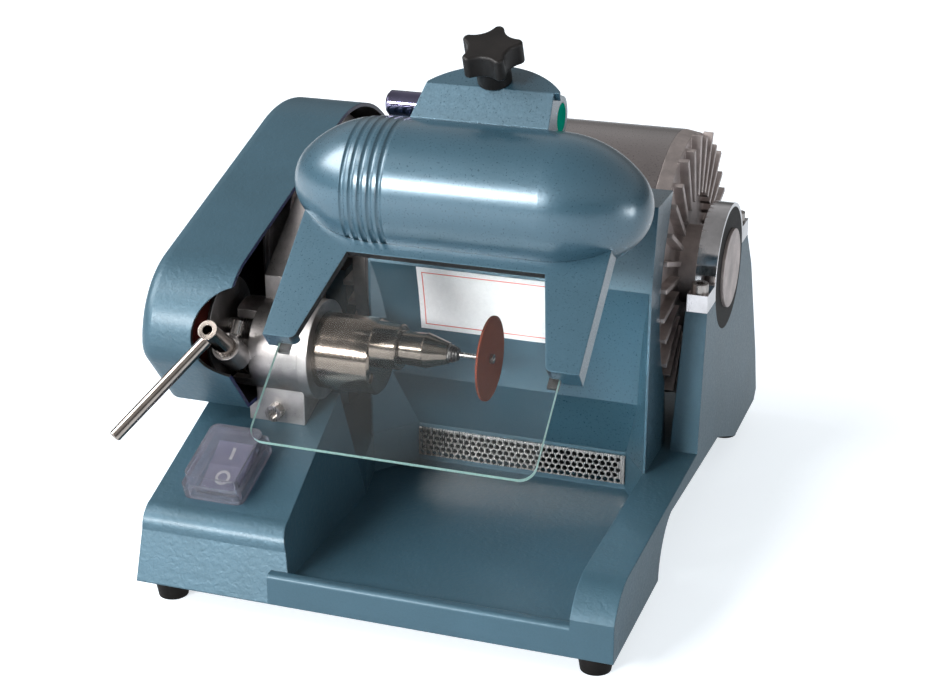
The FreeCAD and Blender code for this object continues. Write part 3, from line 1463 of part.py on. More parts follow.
def make_hood():
    """Capsule lamp shell with grooves, the skirt with its window, glass, clips and lamp."""
    y, z, radius = size.hood_y, size.hood_z, size.hood_radius
    left, right = size.hood_left, size.hood_right
    wall = size.hood_wall
    outer = hood_form("hood_outer")
    inner = hood_form("hood_room", wall)
    grooves = []
    for index in range(BEAD_COUNT + 1):
        x = size.groove_left + size.groove_pitch * index
        grooves.append(ring("groove_%d" % index, hood_radius_at(x) + size.groove_radius
                            * HEAD_SHARES["groove_off"], size.groove_radius, x, y, z))
    half_slot = size.hood_slot_width / 2
    slot = skirt_box("hood_slot", (left, right), (-half_slot, half_slot),
                     (-radius * 2, -radius / 2))
    node("hood_shell", cut("shell", outer, inner, slot, *grooves))
    make_skirt()
    drop = -size.glass_drop
    half = size.glass_width / 2
    middle = size.glass_left + half
    corner = size.glass_corner
    node("glass_shield", skirt_body("glass", [
        (middle - half, size.glass_top), (middle - half, size.glass_reach - corner),
        (middle - half + corner, size.glass_reach, corner, 1),
        (middle + half - corner, size.glass_reach),
        (middle + half, size.glass_reach - corner, corner, 1),
        (middle + half, size.glass_top)], drop - size.glass_thickness, size.glass_thickness))
    clips = []
    for side, start in (("left", size.glass_left),
                        ("right", size.glass_left + size.glass_width - size.clip_width)):
        clips.append(skirt_box("clip_" + side, (start, start + size.clip_width),
                               (size.skirt_reach - size.clip_length / 2,
                                size.skirt_reach + size.clip_length / 2),
                               (drop - size.glass_thickness - size.clip_thickness,
                                drop - size.glass_thickness)))
    node("glass_clips", gather("clips", clips))
    lamp_left = (left + right) / 2 - size.lamp_length / 2
    node("lamp_tube", rod("lamp", size.lamp_radius, size.lamp_length, lamp_left, y, z, ALONG_X))
    holders = []
    for side, start in (("left", lamp_left - size.lamp_holder_width),
                        ("right", lamp_left + size.lamp_length)):
        holders.append(skirt_box("holder_" + side, (start, start + size.lamp_holder_width),
                                 (-size.lamp_radius, size.lamp_radius),
                                 (-size.lamp_radius, lamp_holder_top())))
    node("lamp_holders", gather("holders", holders))
    trough = pipe("trough_ring", size.reflector_radius, size.reflector_radius
                  - size.reflector_sheet, lamp_left, size.lamp_length, y, z)
    lower = skirt_box("trough_keep", (lamp_left, lamp_left + size.lamp_length),
                      (-radius, radius), (0 * radius, radius))
    node("reflector", common("trough", trough, lower))


def lamp_holder_top():
    """Height where a holder's top corners meet the inside of the shell."""
    hollow = size.hood_radius - size.hood_wall
    return root(hollow * hollow - size.lamp_radius * size.lamp_radius) - size.air_gap / 2


def skirt_box(name, x_range, along_range, above_range):
    """A box square to the skirt, between limits along x, down the skirt and square off it."""
    feature = doc.addObject("Part::Box", name)
    (x0, x1), (a0, a1), (b0, b1) = x_range, along_range, above_range
    bind(feature, Length=x1 - x0, Width=a1 - a0, Height=b1 - b0)
    return place(feature, *skirt_place(a1, b0, x0), skirt_turn())


def make_skirt():
    """Skirt plate with a flared window, side flanges and solid leg ends over the glass."""
    left = size.glass_left - size.skirt_margin_left
    right = size.glass_left + size.glass_width + size.skirt_margin_right
    middle = (left + right) / 2
    reach, top = size.skirt_reach, size.skirt_top
    window_top, half, flare = size.window_top, size.window_half, size.window_flare
    chamfer = size.leg_chamfer
    outline = [
        (left, top), (left, reach),
        (middle - half - flare - chamfer, reach),
        (middle - half - flare, reach - chamfer, chamfer, 1),
        (middle - half, window_top), (middle + half, window_top),
        (middle + half + flare, reach - chamfer),
        (middle + half + flare + chamfer, reach, chamfer, 1),
        (right, reach), (right, top)]
    depth, plate = size.skirt_depth, size.skirt_plate
    solid = skirt_body("skirt_solid", outline, -depth, depth)
    flange = size.skirt_flange
    tray = skirt_box("skirt_room", (left + flange, right - flange),
                     (top - flange, reach - flange), (-depth - plate, -plate))
    glass_slot = skirt_box("skirt_glass_slot",
                           (size.glass_left - size.air_gap,
                            size.glass_left + size.glass_width + size.air_gap),
                           (reach - flange * 2, reach + flange),
                           (-depth - plate, -size.glass_drop))
    skirt = cut("skirt", solid, tray, glass_slot, hood_form("skirt_hood_cut"))
    node("hood_skirt", skirt)


def make_hinge():
    """Hinge block on the hood, its axle, plug, support arm, star knob and stud."""
    y, z = size.hinge_y, size.hinge_z
    left, right = size.hinge_block_left, size.hinge_block_right
    round_radius = size.hinge_block_radius
    face_top = (size.hinge_face_top_y, size.hinge_face_top_z)
    shoulder = touch_point((y, z), round_radius, face_top, -1)
    core = slab("hinge_core", "YZ_Plane", [
        (size.hinge_face_bottom_y, size.hinge_face_bottom_z),
        face_top, shoulder,
        (y + round_radius, z, round_radius, -1),
        (y, z - round_radius, round_radius, -1),
        (y - round_radius, z - round_radius * 1.2)], left, right - left)
    boss = stud_rod("stud_boss", size.stud_boss_radius, round_radius,
                    knob_seat() - round_radius - size.crest_thickness / 2)
    hood_seat = rod("hinge_hood_seat", size.hood_radius, right - left + size.overrun * 2,
                    left - size.overrun, size.hood_y, size.hood_z, ALONG_X)
    crest = make_crest()
    base_z, lean = size.hinge_face_bottom_z, size.hinge_block_lean
    high = size.hinge_face_top_z + size.overrun
    shear = lean / (size.hinge_face_top_z - base_z)
    trim = slab("hinge_trim", "XZ_Plane", [
        (left - size.overrun, base_z - size.overrun),
        (left - size.overrun, high),
        (left + (high - base_z) * shear, high),
        (left, base_z),
        (left, base_z - size.overrun)],
        size.hood_y - size.overrun, size.overrun * 4)
    bore = rod("hinge_bore", size.axle_radius + size.running_clearance,
               right - left + size.overrun * 2, left - size.overrun, y, z, ALONG_X)
    plug_seat = rod("plug_seat", size.plug_radius, size.plug_depth + size.overrun,
                    right - size.plug_depth, y, z, ALONG_X)
    lug_half = size.arm_lug_width / 2 + size.arm_room
    slot_left = size.arm_lug_x - lug_half
    lug_room = rod("hinge_lug_room", size.arm_lug_radius + size.arm_room, lug_half * 2,
                   slot_left, y, z, ALONG_X)
    far = size.overrun
    behind = y - size.arm_thickness / 3 - size.arm_room
    slot = slab("hinge_slot", "YZ_Plane", [
        (behind, z - far), (y + far, z - far), (y + far, z + far),
        (y + far * sine(size.slot_tilt), z + far * cosine(size.slot_tilt)), (y, z),
        (behind, z)], slot_left, lug_half * 2)
    stud_room = stud_rod("stud_room", size.stud_radius + size.running_clearance,
                         size.arm_lug_radius, size.overrun)
    node("hinge_block", cut("hinge_casting", fuse("hinge_solid", core, crest, boss), trim,
                            hood_seat, bore, plug_seat, lug_room, slot, stud_room))
    node("hinge_axle", turned("axle", [
        (0, 0), (0, size.axle_radius - size.edge_round),
        (size.edge_round, size.axle_radius),
        (right - size.plug_depth - size.edge_round - size.hinge_left, size.axle_radius),
        (right - size.plug_depth - size.edge_round - size.hinge_left, 0)],
        size.hinge_left, y, z))
    node("hinge_plug", rod("plug", size.plug_radius, size.plug_depth, right - size.plug_depth,
                           y, z, ALONG_X))
    make_arm()
    make_knob()


def make_crest():
    """Arched plate along the top of the hinge block, that the knob bears on."""
    middle = (size.crest_left + size.crest_right) / 2
    half = (size.crest_right - size.crest_left) / 2
    rise = size.crest_depth - size.edge_round
    radius = (half * half + rise * rise) / (rise * 2)
    body = doc.addObject("PartDesign::Body", "crest")
    sketch = draw(body, "XY_Plane", [
        (-half, 0), (half, 0), (half, size.edge_round),
        (0, size.crest_depth, radius, 1), (-half, size.edge_round, radius, 1)])
    pad = body.newObject("PartDesign::Pad", "crest_pad")
    pad.Profile = sketch
    bind(pad, Length=size.crest_thickness)
    pad.Reversed = True
    turn = Rotation(Vector(1, 0, 0), value_of(size.crest_tilt))
    return place(body, middle, size.hinge_face_top_y, size.hinge_face_top_z, turn)


def knob_line(distance):
    """Bench place on the knob's axis, at a distance from the hinge axle."""
    y = size.hinge_y - distance * sine(size.crest_tilt)
    z = size.hinge_z + distance * cosine(size.crest_tilt)
    return size.knob_x, y, z


def knob_turn():
    return Rotation(Vector(1, 0, 0), value_of(size.crest_tilt))


def stud_rod(name, radius, start, length):
    x, y, z = knob_line(start)
    return rod(name, radius, length, x, y, z, knob_turn())


def knob_seat():
    """Distance from the axle to the crest's face, along the knob's axis."""
    slope = size.crest_tilt
    return ((size.hinge_face_top_z - size.hinge_z) * cosine(slope)
            - (size.hinge_face_top_y - size.hinge_y) * sine(slope)
            + size.air_gap / 2)


def make_star(start):
    """Head of the knob: round tips joined by hollow valleys, each arc tangent to the next."""
    tip, valley = size.knob_tip_round, size.knob_valley_radius
    tip_at = size.knob_radius - tip
    less = valley - tip
    half_turn = 180.0 / LOBE_COUNT
    valley_at = (tip_at * tip_at - less * less) / (tip_at * cosine(half_turn) * 2 - less * 2)
    hollow = valley_at - valley
    share = tip / (tip + hollow)
    outline = []
    for index in range(LOBE_COUNT):
        angle = size.knob_phase + half_turn * 2 * index
        tip_u, tip_v = tip_at * cosine(angle), tip_at * sine(angle)
        for turn, arc in ((-half_turn, (hollow, -1)), (half_turn, (tip, 1))):
            along_u = valley_at * cosine(angle + turn) - tip_u
            along_v = valley_at * sine(angle + turn) - tip_v
            outline.append((tip_u + along_u * share, tip_v + along_v * share) + arc)
    body = doc.addObject("PartDesign::Body", "knob_star")
    pad = body.newObject("PartDesign::Pad", "knob_star_pad")
    pad.Profile = draw(body, "XY_Plane", outline)
    bind(pad, Length=size.knob_height)
    x, y, z = knob_line(start)
    return place(body, x, y, z, knob_turn())


def make_knob():
    """Five-lobed knob with its neck, and the stud that locks the hinge."""
    base = knob_seat()
    neck = stud_rod("knob_neck", size.knob_neck_radius, base, size.knob_neck_height)
    axis = knob_turn().multVec(Vector(0, 0, 1))
    soft = rounded("knob_soft", make_star(base + size.knob_neck_height), size.edge_round,
                   lambda edge: abs(edge.tangentAt(edge.FirstParameter).dot(axis)) < TINY_LENGTH)
    socket = stud_rod("knob_socket", size.stud_radius, base - size.overrun,
                      size.overrun + size.knob_neck_height)
    node("star_knob", cut("knob", fuse("knob_solid", neck, soft), socket))
    tip = size.arm_lug_radius + size.arm_room
    node("knob_stud", stud_rod("stud", size.stud_radius, tip, base + size.knob_neck_height - tip))


def make_arm():
    """Support arm from the chamber wall's top to the hinge axle."""
    y, z = size.hinge_y, size.hinge_z
    start = size.arm_lug_x - size.arm_lug_width / 2
    width = size.arm_lug_width
    lug = rod("arm_lug", size.arm_lug_radius, width, start, y, z, ALONG_X)
    foot_y = size.chamber_front + size.wall_sheet * 3
    foot_low = size.wall_top
    back = foot_y + size.arm_foot_depth
    foot_high = foot_low + size.arm_foot_height
    thick = size.arm_thickness
    strut = slab("arm_strut", "YZ_Plane", [
        (back - thick * 1.2, foot_high - size.arm_foot_height / 2), (back, foot_high),
        (y + thick / 2, z + thick / 2), (y - thick / 3, z - thick * 0.8)], start, width)
    foot = block("arm_foot", (start - thick, start + width + thick), (foot_y, back),
                 (foot_low, foot_high))
    bore = rod("arm_bore", size.axle_radius, width * 2, start - width / 2, y, z, ALONG_X)
    node("hood_arm", cut("arm", fuse("arm_solid", lug, strut, foot), bore))


def make_switch():
    """Rocker switch in the pod under a clear sealing boot."""
    wall, step = size.boot_wall, size.boot_step
    width, length = size.switch_width, size.switch_length
    low = size.air_gap / 3
    skirt = switch_box("boot_skirt", width + step * 2, length + step * 2, low,
                       size.boot_height * 0.55)
    top = switch_box("boot_top", width, length, low, size.boot_height)
    soft_skirt = rounded("boot_skirt_soft", skirt, step * 2, upright_edge)
    soft_top = rounded("boot_top_soft", top, step * 2, upright_edge)
    room = switch_box("boot_room", width - wall * 2, length - wall * 2, low - wall,
                      size.boot_height)
    node("switch_boot", cut("boot", fuse("boot_solid", soft_skirt, soft_top), room))
    frame_out = switch_box("switch_frame_out", size.rocker_width + wall * 2,
                           size.rocker_length + wall * 2, -size.switch_body_depth,
                           size.switch_body_depth + wall)
    frame_in = switch_box("switch_frame_in", size.rocker_width + size.air_gap * 2,
                          size.rocker_length + size.air_gap * 2,
                          -size.rocker_height, size.rocker_height * 3)
    node("switch_body", cut("switch_frame", frame_out, frame_in))
    slope = size.pod_tilt
    axis_y = size.switch_y
    axis_z = pod_top(size.switch_y)
    bottom = size.rocker_height * 0.75
    half = size.rocker_length / 2
    rise = size.rocker_height * 0.85
    body = doc.addObject("PartDesign::Body", "rocker_body")
    sketch = draw(body, "YZ_Plane", [
        (-half * 0.8, -bottom * 0.6), (-half, rise * 0.25), (0 * half, rise * 0.6, half * 3, 1),
        (half, rise, half * 3, 1), (half * 0.8, -bottom * 0.6)])
    sketch.setExpression("AttachmentOffset.Base.z", formula_of(-size.rocker_width / 2))
    pad = body.newObject("PartDesign::Pad", "rocker_pad")
    pad.Profile = sketch
    bind(pad, Length=size.rocker_width)
    place(body, size.switch_x, axis_y, axis_z, Rotation(Vector(1, 0, 0), value_of(slope)))
    node("rocker", body)


def upright_edge(edge):
    """True for a straight edge square to the pod's sloping top."""
    slope = math.radians(value_of(size.pod_tilt))
    normal = Vector(0, -math.sin(slope), math.cos(slope))
    span = edge.Vertexes[-1].Point - edge.Vertexes[0].Point
    return span.Length > TINY_LENGTH and abs(span.normalize().dot(normal)) > 0.999


def make_electrics():
    """Mains inlet in the rear wall and the motor's run capacitor under the deck."""
    back = size.base_depth - size.rear_setback
    half = size.inlet_width / 2
    low = inlet_bottom()
    gap = size.air_gap / 3
    body = block("inlet_body", (size.inlet_x - half + gap, size.inlet_x + half - gap),
                 (back - size.inlet_depth, back),
                 (low + gap, low + size.inlet_height - gap))
    flange = block("inlet_flange", (size.inlet_x - half - size.casting_wall,
                                    size.inlet_x + half + size.casting_wall),
                   (back, back + size.duct_sheet), (low - size.duct_sheet, low
                                                    + size.inlet_height + size.duct_sheet))
    wall = size.duct_sheet * 1.5
    mouth = block("inlet_mouth", (size.inlet_x - half + wall * 2, size.inlet_x + half - wall * 2),
                  (back - size.inlet_depth * 0.7, back + size.duct_sheet * 2),
                  (low + wall * 2, low + size.inlet_height - wall * 2))
    pins = []
    for index, share in enumerate((-0.5, 0, 0.5)):
        x = size.inlet_x + share * size.inlet_width / 2
        z = low + size.inlet_height / 2 + wall * (0.7 if share == 0 else -0.5)
        pins.append(block("inlet_pin_%d" % index, (x - wall / 4, x + wall / 4),
                          (back - size.inlet_depth * 0.75, back - size.inlet_depth * 0.2),
                          (z - wall / 2, z + wall / 2)))
    shell = cut("inlet_shell", fuse("inlet_solid", body, flange), mouth)
    node("power_inlet", fuse("inlet", shell, *pins))
    node("run_capacitor", rod("capacitor", size.capacitor_radius, size.capacitor_length,
                              left_side + size.casting_wall * 3,
                              size.chamber_back + size.casting_wall * 3 + size.capacitor_radius
                              * 3, size.foot_height + size.duct_sheet + size.capacitor_radius,
                              ALONG_X))


def socket_screw(name, x, y, z, turn):
    """Socket head screw whose head starts at the given face and stands outwards."""
    head = rod(name + "_head", size.screw_head_radius, size.screw_head_height, x, y, z, turn)
    inward = turn.multVec(Vector(0, 0, 1))
    socket_depth = size.screw_head_height / 2
    sx, sy, sz = (a + socket_depth * round(b, 9) for a, b in zip((x, y, z), inward))
    socket = rod(name + "_socket", size.screw_socket_radius, size.screw_head_height, sx, sy, sz,
                 turn)
    return cut(name, head, socket)


def make_screws():
    """Heads of the socket screws that clamp the straps, the headstock and the arm."""
    screws = []
    width = size.cradle_top_thickness
    up = UPRIGHT
    for side, start in (("left", size.left_cradle_x), ("right", right_side - width)):
        x = start + width / 2
        inset = size.screw_head_radius + size.edge_round
        for end, y, seat in (
                ("front", cradle_front + inset, size.cradle_front_height),
                ("rear", cradle_rear - inset, size.cradle_rear_height)):
            screws.append(socket_screw("strap_screw_%s_%s" % (side, end), x, y,
                                       seat + size.strap_ear_height, up))
    forward = Rotation(Vector(1, 0, 0), 90)
    foot_x = size.barrel_left + size.headstock_foot_width * 0.42
    front = size.headstock_foot_front
    screws.append(socket_screw("foot_screw", foot_x, front, pod_top(front)
                               + size.screw_head_radius * 1.4, forward))
    start = size.arm_lug_x - size.arm_lug_width / 2
    for side, x in (("left", start - size.arm_thickness / 2),
                    ("right", start + size.arm_lug_width + size.arm_thickness / 2)):
        screws.append(socket_screw("arm_screw_" + side, x, size.chamber_front
                                   + size.wall_sheet * 3 + size.arm_foot_depth / 2,
                                   size.wall_top + size.arm_foot_height, up))
    node("socket_screws", gather("screws", screws))


make_base()
make_feet()
make_bottom_cover()
make_wall()
make_grille()
make_label()
make_dust_way()
make_motor_case()
make_rotor()
make_belt()
make_headstock()
make_cartridge()
make_spindle()
make_release()
make_guard()
make_hood()
make_hinge()
make_switch()
make_electrics()
make_screws()
doc.recompute()

# The origin is under the middle of the whole part.
whole = FreeCAD.BoundBox()
for feature in nodes:
    whole.add(feature.Shape.BoundBox)
cells.set("B%d" % (len(SIZES) + 1), "%r" % -whole.Center.x)
cells.set("B%d" % (len(SIZES) + 2), "%r" % -whole.Center.y)
doc.recompute()

faults = [item.Label for item in doc.Objects
          if "Invalid" in item.State or "Error" in item.State]
faults += [item.Label for item in nodes if item.Shape.isNull() or not item.Shape.isValid()]
if faults:
    raise ValueError("unsound pieces: " + ", ".join(faults))

os.makedirs("parts", exist_ok=True)
for feature in nodes:
    feature.Shape.exportStep(os.path.join("parts", feature.Label + ".step"))
    print("%-20s %3d solids %10.1f mm3" % (feature.Label, len(feature.Shape.Solids),
                                           feature.Shape.Volume))
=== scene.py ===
import math

import bpy
import numpy as np
from mathutils import Matrix, Vector


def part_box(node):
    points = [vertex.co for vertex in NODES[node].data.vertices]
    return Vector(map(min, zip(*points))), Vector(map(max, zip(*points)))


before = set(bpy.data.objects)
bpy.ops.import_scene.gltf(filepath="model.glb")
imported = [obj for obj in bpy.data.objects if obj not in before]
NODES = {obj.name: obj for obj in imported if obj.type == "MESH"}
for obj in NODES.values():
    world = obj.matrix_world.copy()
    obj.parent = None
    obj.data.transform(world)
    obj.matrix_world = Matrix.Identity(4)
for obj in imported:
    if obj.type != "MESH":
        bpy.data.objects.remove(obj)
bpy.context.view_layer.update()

MM = 0.001

# Sizes below are millimetres on the bench: x 0 at the base's middle, y 0 at its front edge.
SPINDLE_AXIS = (83.8, 110.4)
MOTOR_AXIS = (212.0, 122.5)
HOOD_AXIS = (0.0, 80.0, 191.0)
HOOD_SLOPE = math.radians(40.0)
SWITCH_SLOPE = math.radians(20.0)

# Grain of the paint: its fine peel, its dimples and its slow clouds.
PEEL_GRAIN, DIMPLE_GRAIN, CLOUD_GRAIN = 0.9, 2.6, 30.0

# The camera, worked out from the outline of the base in the photograph: its place, the ways
# across the picture and back towards it, and its focal length in picture widths.
CAMERA_PLACE = (292.0, -702.4, 447.0)
CAMERA_ACROSS = (0.9447, 0.3280, 0.0)
CAMERA_BACK = (0.3045, -0.8768, 0.3720)
PHOTO_WIDTH = 933.0
FOCAL_WIDTHS = 1931.0 / PHOTO_WIDTH
SENSOR_WIDTH = 36.0

# Soft boxes: name, place and aim in metres, width, height and power.
SOFT_BOXES = (
    ("front_box", (-0.95, -2.2, 0.95), (0.0, 0.0, 0.15), 0.7, 0.42, 58),
    ("left_box", (-1.9, -0.9, 1.7), (0.0, 0.0, 0.1), 1.4, 1.4, 70),
    ("right_box", (1.9, -0.42, 0.14), (0.0, 0.0, 0.2), 0.4, 0.4, 8),
)

# Brightness of the air from straight below to straight above.
AIR_LEVELS = ((0.0, 0.12), (0.25, 0.17), (0.5, 0.50), (1.0, 0.29))

# The floor: reach in metres, its own colour, the glow that keeps it white, and the share of
# that glow that shiny pieces mirror.
FLOOR_REACH = 9.0
FLOOR_COLOUR = (0.62, 0.66, 0.70, 1)
FLOOR_GLOW_COLOUR = (0.95, 1.0, 1.04, 1)
FLOOR_GLOW, MIRRORED_SHARE = 0.70, 0.46


def linear(red, green, blue):
    """A colour given in screen values from 0 to 255, as the linear light a shader takes."""
    parts = [c / 255.0 for c in (red, green, blue)]
    parts = [c / 12.92 if c <= 0.04045 else ((c + 0.055) / 1.055) ** 2.4 for c in parts]
    return (*parts, 1.0)


class Finish:
    """A material with a shader, and short ways to add patterns in real sizes."""

    def __init__(self, name, **sockets):
        """Starts the material; a socket's name has low dashes where the shader has spaces."""
        self.material = bpy.data.materials.new(name)
        self.material.use_nodes = True
        self.tree = self.material.node_tree
        self.shader = self.tree.nodes["Principled BSDF"]
        self.normal = None
        for socket, value in sockets.items():
            self.shader.inputs[socket.replace("_", " ")].default_value = value
        coords = self.tree.nodes.new("ShaderNodeTexCoord")
        self.place = coords.outputs["Object"]

    def add(self, kind, links=None, **values):
        """One node, its sockets set from values or linked from links."""
        made = self.tree.nodes.new(kind)
        for socket, value in values.items():
            made.inputs[socket.replace("_", " ")].default_value = value
        for socket, source in (links or {}).items():
            self.tree.links.new(source, made.inputs[socket])
        return made

    def set(self, socket, source):
        """Links a pattern to a socket of the shader."""
        self.tree.links.new(source, self.shader.inputs[socket])

    def stretched(self, x=1.0, y=1.0, z=1.0, turn=(0.0, 0.0, 0.0)):
        """Object places, scaled unevenly and turned, for brushed or drawn grain."""
        made = self.add("ShaderNodeMapping", {"Vector": self.place})
        made.inputs["Scale"].default_value = (x, y, z)
        made.inputs["Rotation"].default_value = turn
        return made.outputs["Vector"]

    def noise(self, grain, detail=2.0, rough=0.5, place=None, twist=0.0):
        """Cloudy noise whose lumps are about grain millimetres across."""
        made = self.add("ShaderNodeTexNoise", {"Vector": place or self.place},
                        Scale=1.0 / (grain * MM), Detail=detail, Roughness=rough,
                        Distortion=twist)
        return made.outputs["Fac"]

    def ramp(self, source, *stops):
        """Grey or colour along a source from 0 to 1; each stop is (place, value)."""
        made = self.tree.nodes.new("ShaderNodeValToRGB")
        band = made.color_ramp
        while len(band.elements) > 1:
            band.elements.remove(band.elements[-1])
        for index, (where, value) in enumerate(stops):
            colour = value if isinstance(value, tuple) else (value, value, value, 1.0)
            item = band.elements[0] if index == 0 else band.elements.new(where)
            item.position = where
            item.color = colour
        self.tree.links.new(source, made.inputs["Fac"])
        return made.outputs["Color"]

    def maths(self, work, first, second):
        """One sum of two values, each a number or a pattern."""
        made = self.tree.nodes.new("ShaderNodeMath")
        made.operation = work
        for socket, value in zip(made.inputs, (first, second)):
            if isinstance(value, (int, float)):
                socket.default_value = value
            else:
                self.tree.links.new(value, socket)
        return made.outputs["Value"]

    def mix(self, share, first, second):
        """A colour between two, by a share from 0 to 1."""
        made = self.tree.nodes.new("ShaderNodeMix")
        made.data_type = "RGBA"
        inputs = {"Factor": made.inputs[0], "A": made.inputs[6], "B": made.inputs[7]}
        for key, value in (("Factor", share), ("A", first), ("B", second)):
            if isinstance(value, (int, float, tuple)):
                inputs[key].default_value = value
            else:
                self.tree.links.new(value, inputs[key])
        return made.outputs[2]

    def within(self, source, low, high):
        """1 where a value lies between two limits given in millimetres, and 0 elsewhere."""
        above = self.maths("GREATER_THAN", source, low * MM)
        return self.maths("MULTIPLY", above, self.maths("LESS_THAN", source, high * MM))

    def axes(self):
        """The three object coordinates as single values."""
        return self.add("ShaderNodeSeparateXYZ", {"Vector": self.place}).outputs

    def round_edges(self, radius):
        """Edges catch light as if rounded by radius millimetres."""
        made = self.tree.nodes.new("ShaderNodeBevel")
        made.samples = 4
        made.inputs["Radius"].default_value = radius * MM
        self.normal = made.outputs["Normal"]
        return self

    def bump(self, height, depth):
        """Raises the surface by height, from 0 to 1, times depth millimetres."""
        made = self.add("ShaderNodeBump", {"Height": height}, Distance=depth * MM)
        if self.normal is not None:
            self.tree.links.new(self.normal, made.inputs["Normal"])
        self.normal = made.outputs["Normal"]
        return self

    def done(self):
        """The material, with its bumps linked."""
        if self.normal is not None:
            self.set("Normal", self.normal)
        return self.material


def hammer_paint(name, dark, light, dimples=0.0, gloss=0.30, lacquer=1.0, peel_depth=0.012):
    """Hammered enamel: soft dimples under a fine orange peel, each given by its depth."""
    coat = Finish(name, Metallic=0.35, Roughness=gloss, Coat_Weight=lacquer, Coat_Roughness=0.24)
    coat.round_edges(0.9)
    peel = coat.noise(PEEL_GRAIN, 2.0, 0.5)
    cloud = coat.noise(CLOUD_GRAIN, 2.0, 0.5)
    shade = coat.maths("ADD", coat.maths("MULTIPLY", peel, 0.55),
                       coat.maths("MULTIPLY", cloud, 0.45))
    coat.set("Base Color", coat.ramp(shade, (0.25, dark), (0.75, light)))
    coat.set("Roughness", coat.ramp(peel, (0.3, gloss - 0.04), (0.7, gloss + 0.10)))
    if dimples:
        coat.bump(coat.noise(DIMPLE_GRAIN, 1.0, 0.4, twist=0.6), dimples)
    coat.bump(peel, peel_depth)
    return coat.done()


def cast_metal(name, colour, grain, depth, rough):
    """Cast aluminium: sandy skin, dull lumps and a few bright rubbed places."""
    metal = Finish(name, Metallic=1.0, Roughness=rough)
    metal.round_edges(0.8)
    sand = metal.noise(grain, 4.0, 0.6)
    cloud = metal.noise(12.0, 3.0, 0.6)
    dark = tuple(c * 0.62 for c in colour[:3]) + (1.0,)
    metal.set("Base Color", metal.ramp(cloud, (0.3, dark), (0.7, colour)))
    metal.set("Roughness", metal.ramp(sand, (0.3, rough - 0.1), (0.7, rough + 0.12)))
    metal.bump(sand, depth)
    return metal.done()


def turned_metal(name, colour, rough, axis="X", lines=0.02):
    """Turned and plated metal: fine rings round one axis, or an even skin, and cloudy wear."""
    metal = Finish(name, Metallic=1.0, Roughness=rough)
    metal.round_edges(0.35)
    scale = {"X": (1.0, 0.02, 0.02), "Y": (0.02, 1.0, 0.02), "Z": (0.02, 0.02, 1.0),
             "even": (0.05, 0.05, 0.05)}[axis]
    rings = metal.noise(0.35, 3.0, 0.6, metal.stretched(*scale))
    cloud = metal.noise(9.0, 3.0, 0.55)
    dark = tuple(c * 0.8 for c in colour[:3]) + (1.0,)
    metal.set("Base Color", metal.ramp(cloud, (0.35, dark), (0.65, colour)))
    metal.set("Roughness", metal.ramp(rings, (0.3, rough * 0.7), (0.7, rough * 1.5)))
    metal.bump(rings, lines)
    return metal.done()


def plastic(name, dark, light, rough, grain, depth, **sockets):
    """Moulded plastic or rubber: a matt leather-like grain and slight cloudy colour."""
    skin = Finish(name, Roughness=rough, **sockets)
    skin.round_edges(0.6)
    pores = skin.noise(grain, 3.0, 0.55)
    cloud = skin.noise(14.0, 2.0, 0.5)
    skin.set("Base Color", skin.ramp(cloud, (0.35, dark), (0.65, light)))
    skin.set("Roughness", skin.ramp(pores, (0.3, rough - 0.08), (0.7, rough + 0.1)))
    skin.bump(pores, depth)
    return skin.done()


# Colours are screen values; grains and depths are millimetres.
TEAL = hammer_paint("hammered_teal_enamel", linear(51, 83, 98), linear(60, 94, 111), dimples=0.05)
TEAL_COARSE = hammer_paint("coarse_teal_enamel", linear(51, 80, 93), linear(61, 93, 109),
                           dimples=0.16, gloss=0.44, lacquer=0.2, peel_depth=0.03)
NAVY = plastic("navy_rim_enamel", linear(24, 30, 66), linear(34, 42, 88), 0.35, 1.0, 0.02)
# Black: enamel on the dark parts, and painted shade inside the belt guard and under the skirt.
BLACK_ENAMEL_AND_PAINTED_SHADE = plastic("black_enamel_and_painted_shade", linear(14, 14, 16), linear(26, 26, 28), 0.6, 1.2, 0.05)
MOTOR_GREY = hammer_paint("warm_grey_enamel", linear(98, 92, 91), linear(122, 114, 113))
CAST = cast_metal("cast_aluminium", linear(196, 190, 188), 0.8, 0.12, 0.36)
CAST_DULL = cast_metal("dull_cast_aluminium", linear(202, 191, 188), 0.9, 0.10, 0.5)
NICKEL = turned_metal("polished_nickel", linear(132, 121, 112), 0.14)
CHROME = turned_metal("bright_chrome", linear(208, 206, 208), 0.06)
POLISHED = turned_metal("polished_lever_steel", linear(176, 166, 158), 0.12, "even",
                        lines=0.002)
AXLE = turned_metal("blued_chrome", linear(128, 124, 152), 0.1, "even", lines=0.002)
STEEL = turned_metal("ground_steel", linear(172, 166, 162), 0.26)
DARK_STEEL = turned_metal("dark_steel", linear(70, 68, 68), 0.35)
RUBBER = plastic("black_rubber", linear(15, 13, 12), linear(26, 23, 22), 0.6, 0.6, 0.03,
                 Specular_IOR_Level=0.15)
KNOB = plastic("black_knob_plastic", linear(17, 15, 14), linear(28, 25, 24), 0.42, 0.5, 0.02,
               Specular_IOR_Level=0.3)
WHITE_CARD = plastic("white_plate", linear(224, 220, 222), linear(234, 231, 232), 0.35, 2.0, 0.01)
PLUG_GREEN = plastic("green_plug_plastic", linear(0, 128, 104), linear(8, 150, 126), 0.4, 1.0, 0.01,
                     Specular_IOR_Level=0.0)
BELT = plastic("red_brown_belt", linear(92, 34, 28), linear(120, 48, 38), 0.6, 0.5, 0.03)
COPPER = cast_metal("stator_winding", linear(184, 110, 70), 0.8, 0.1, 0.45)


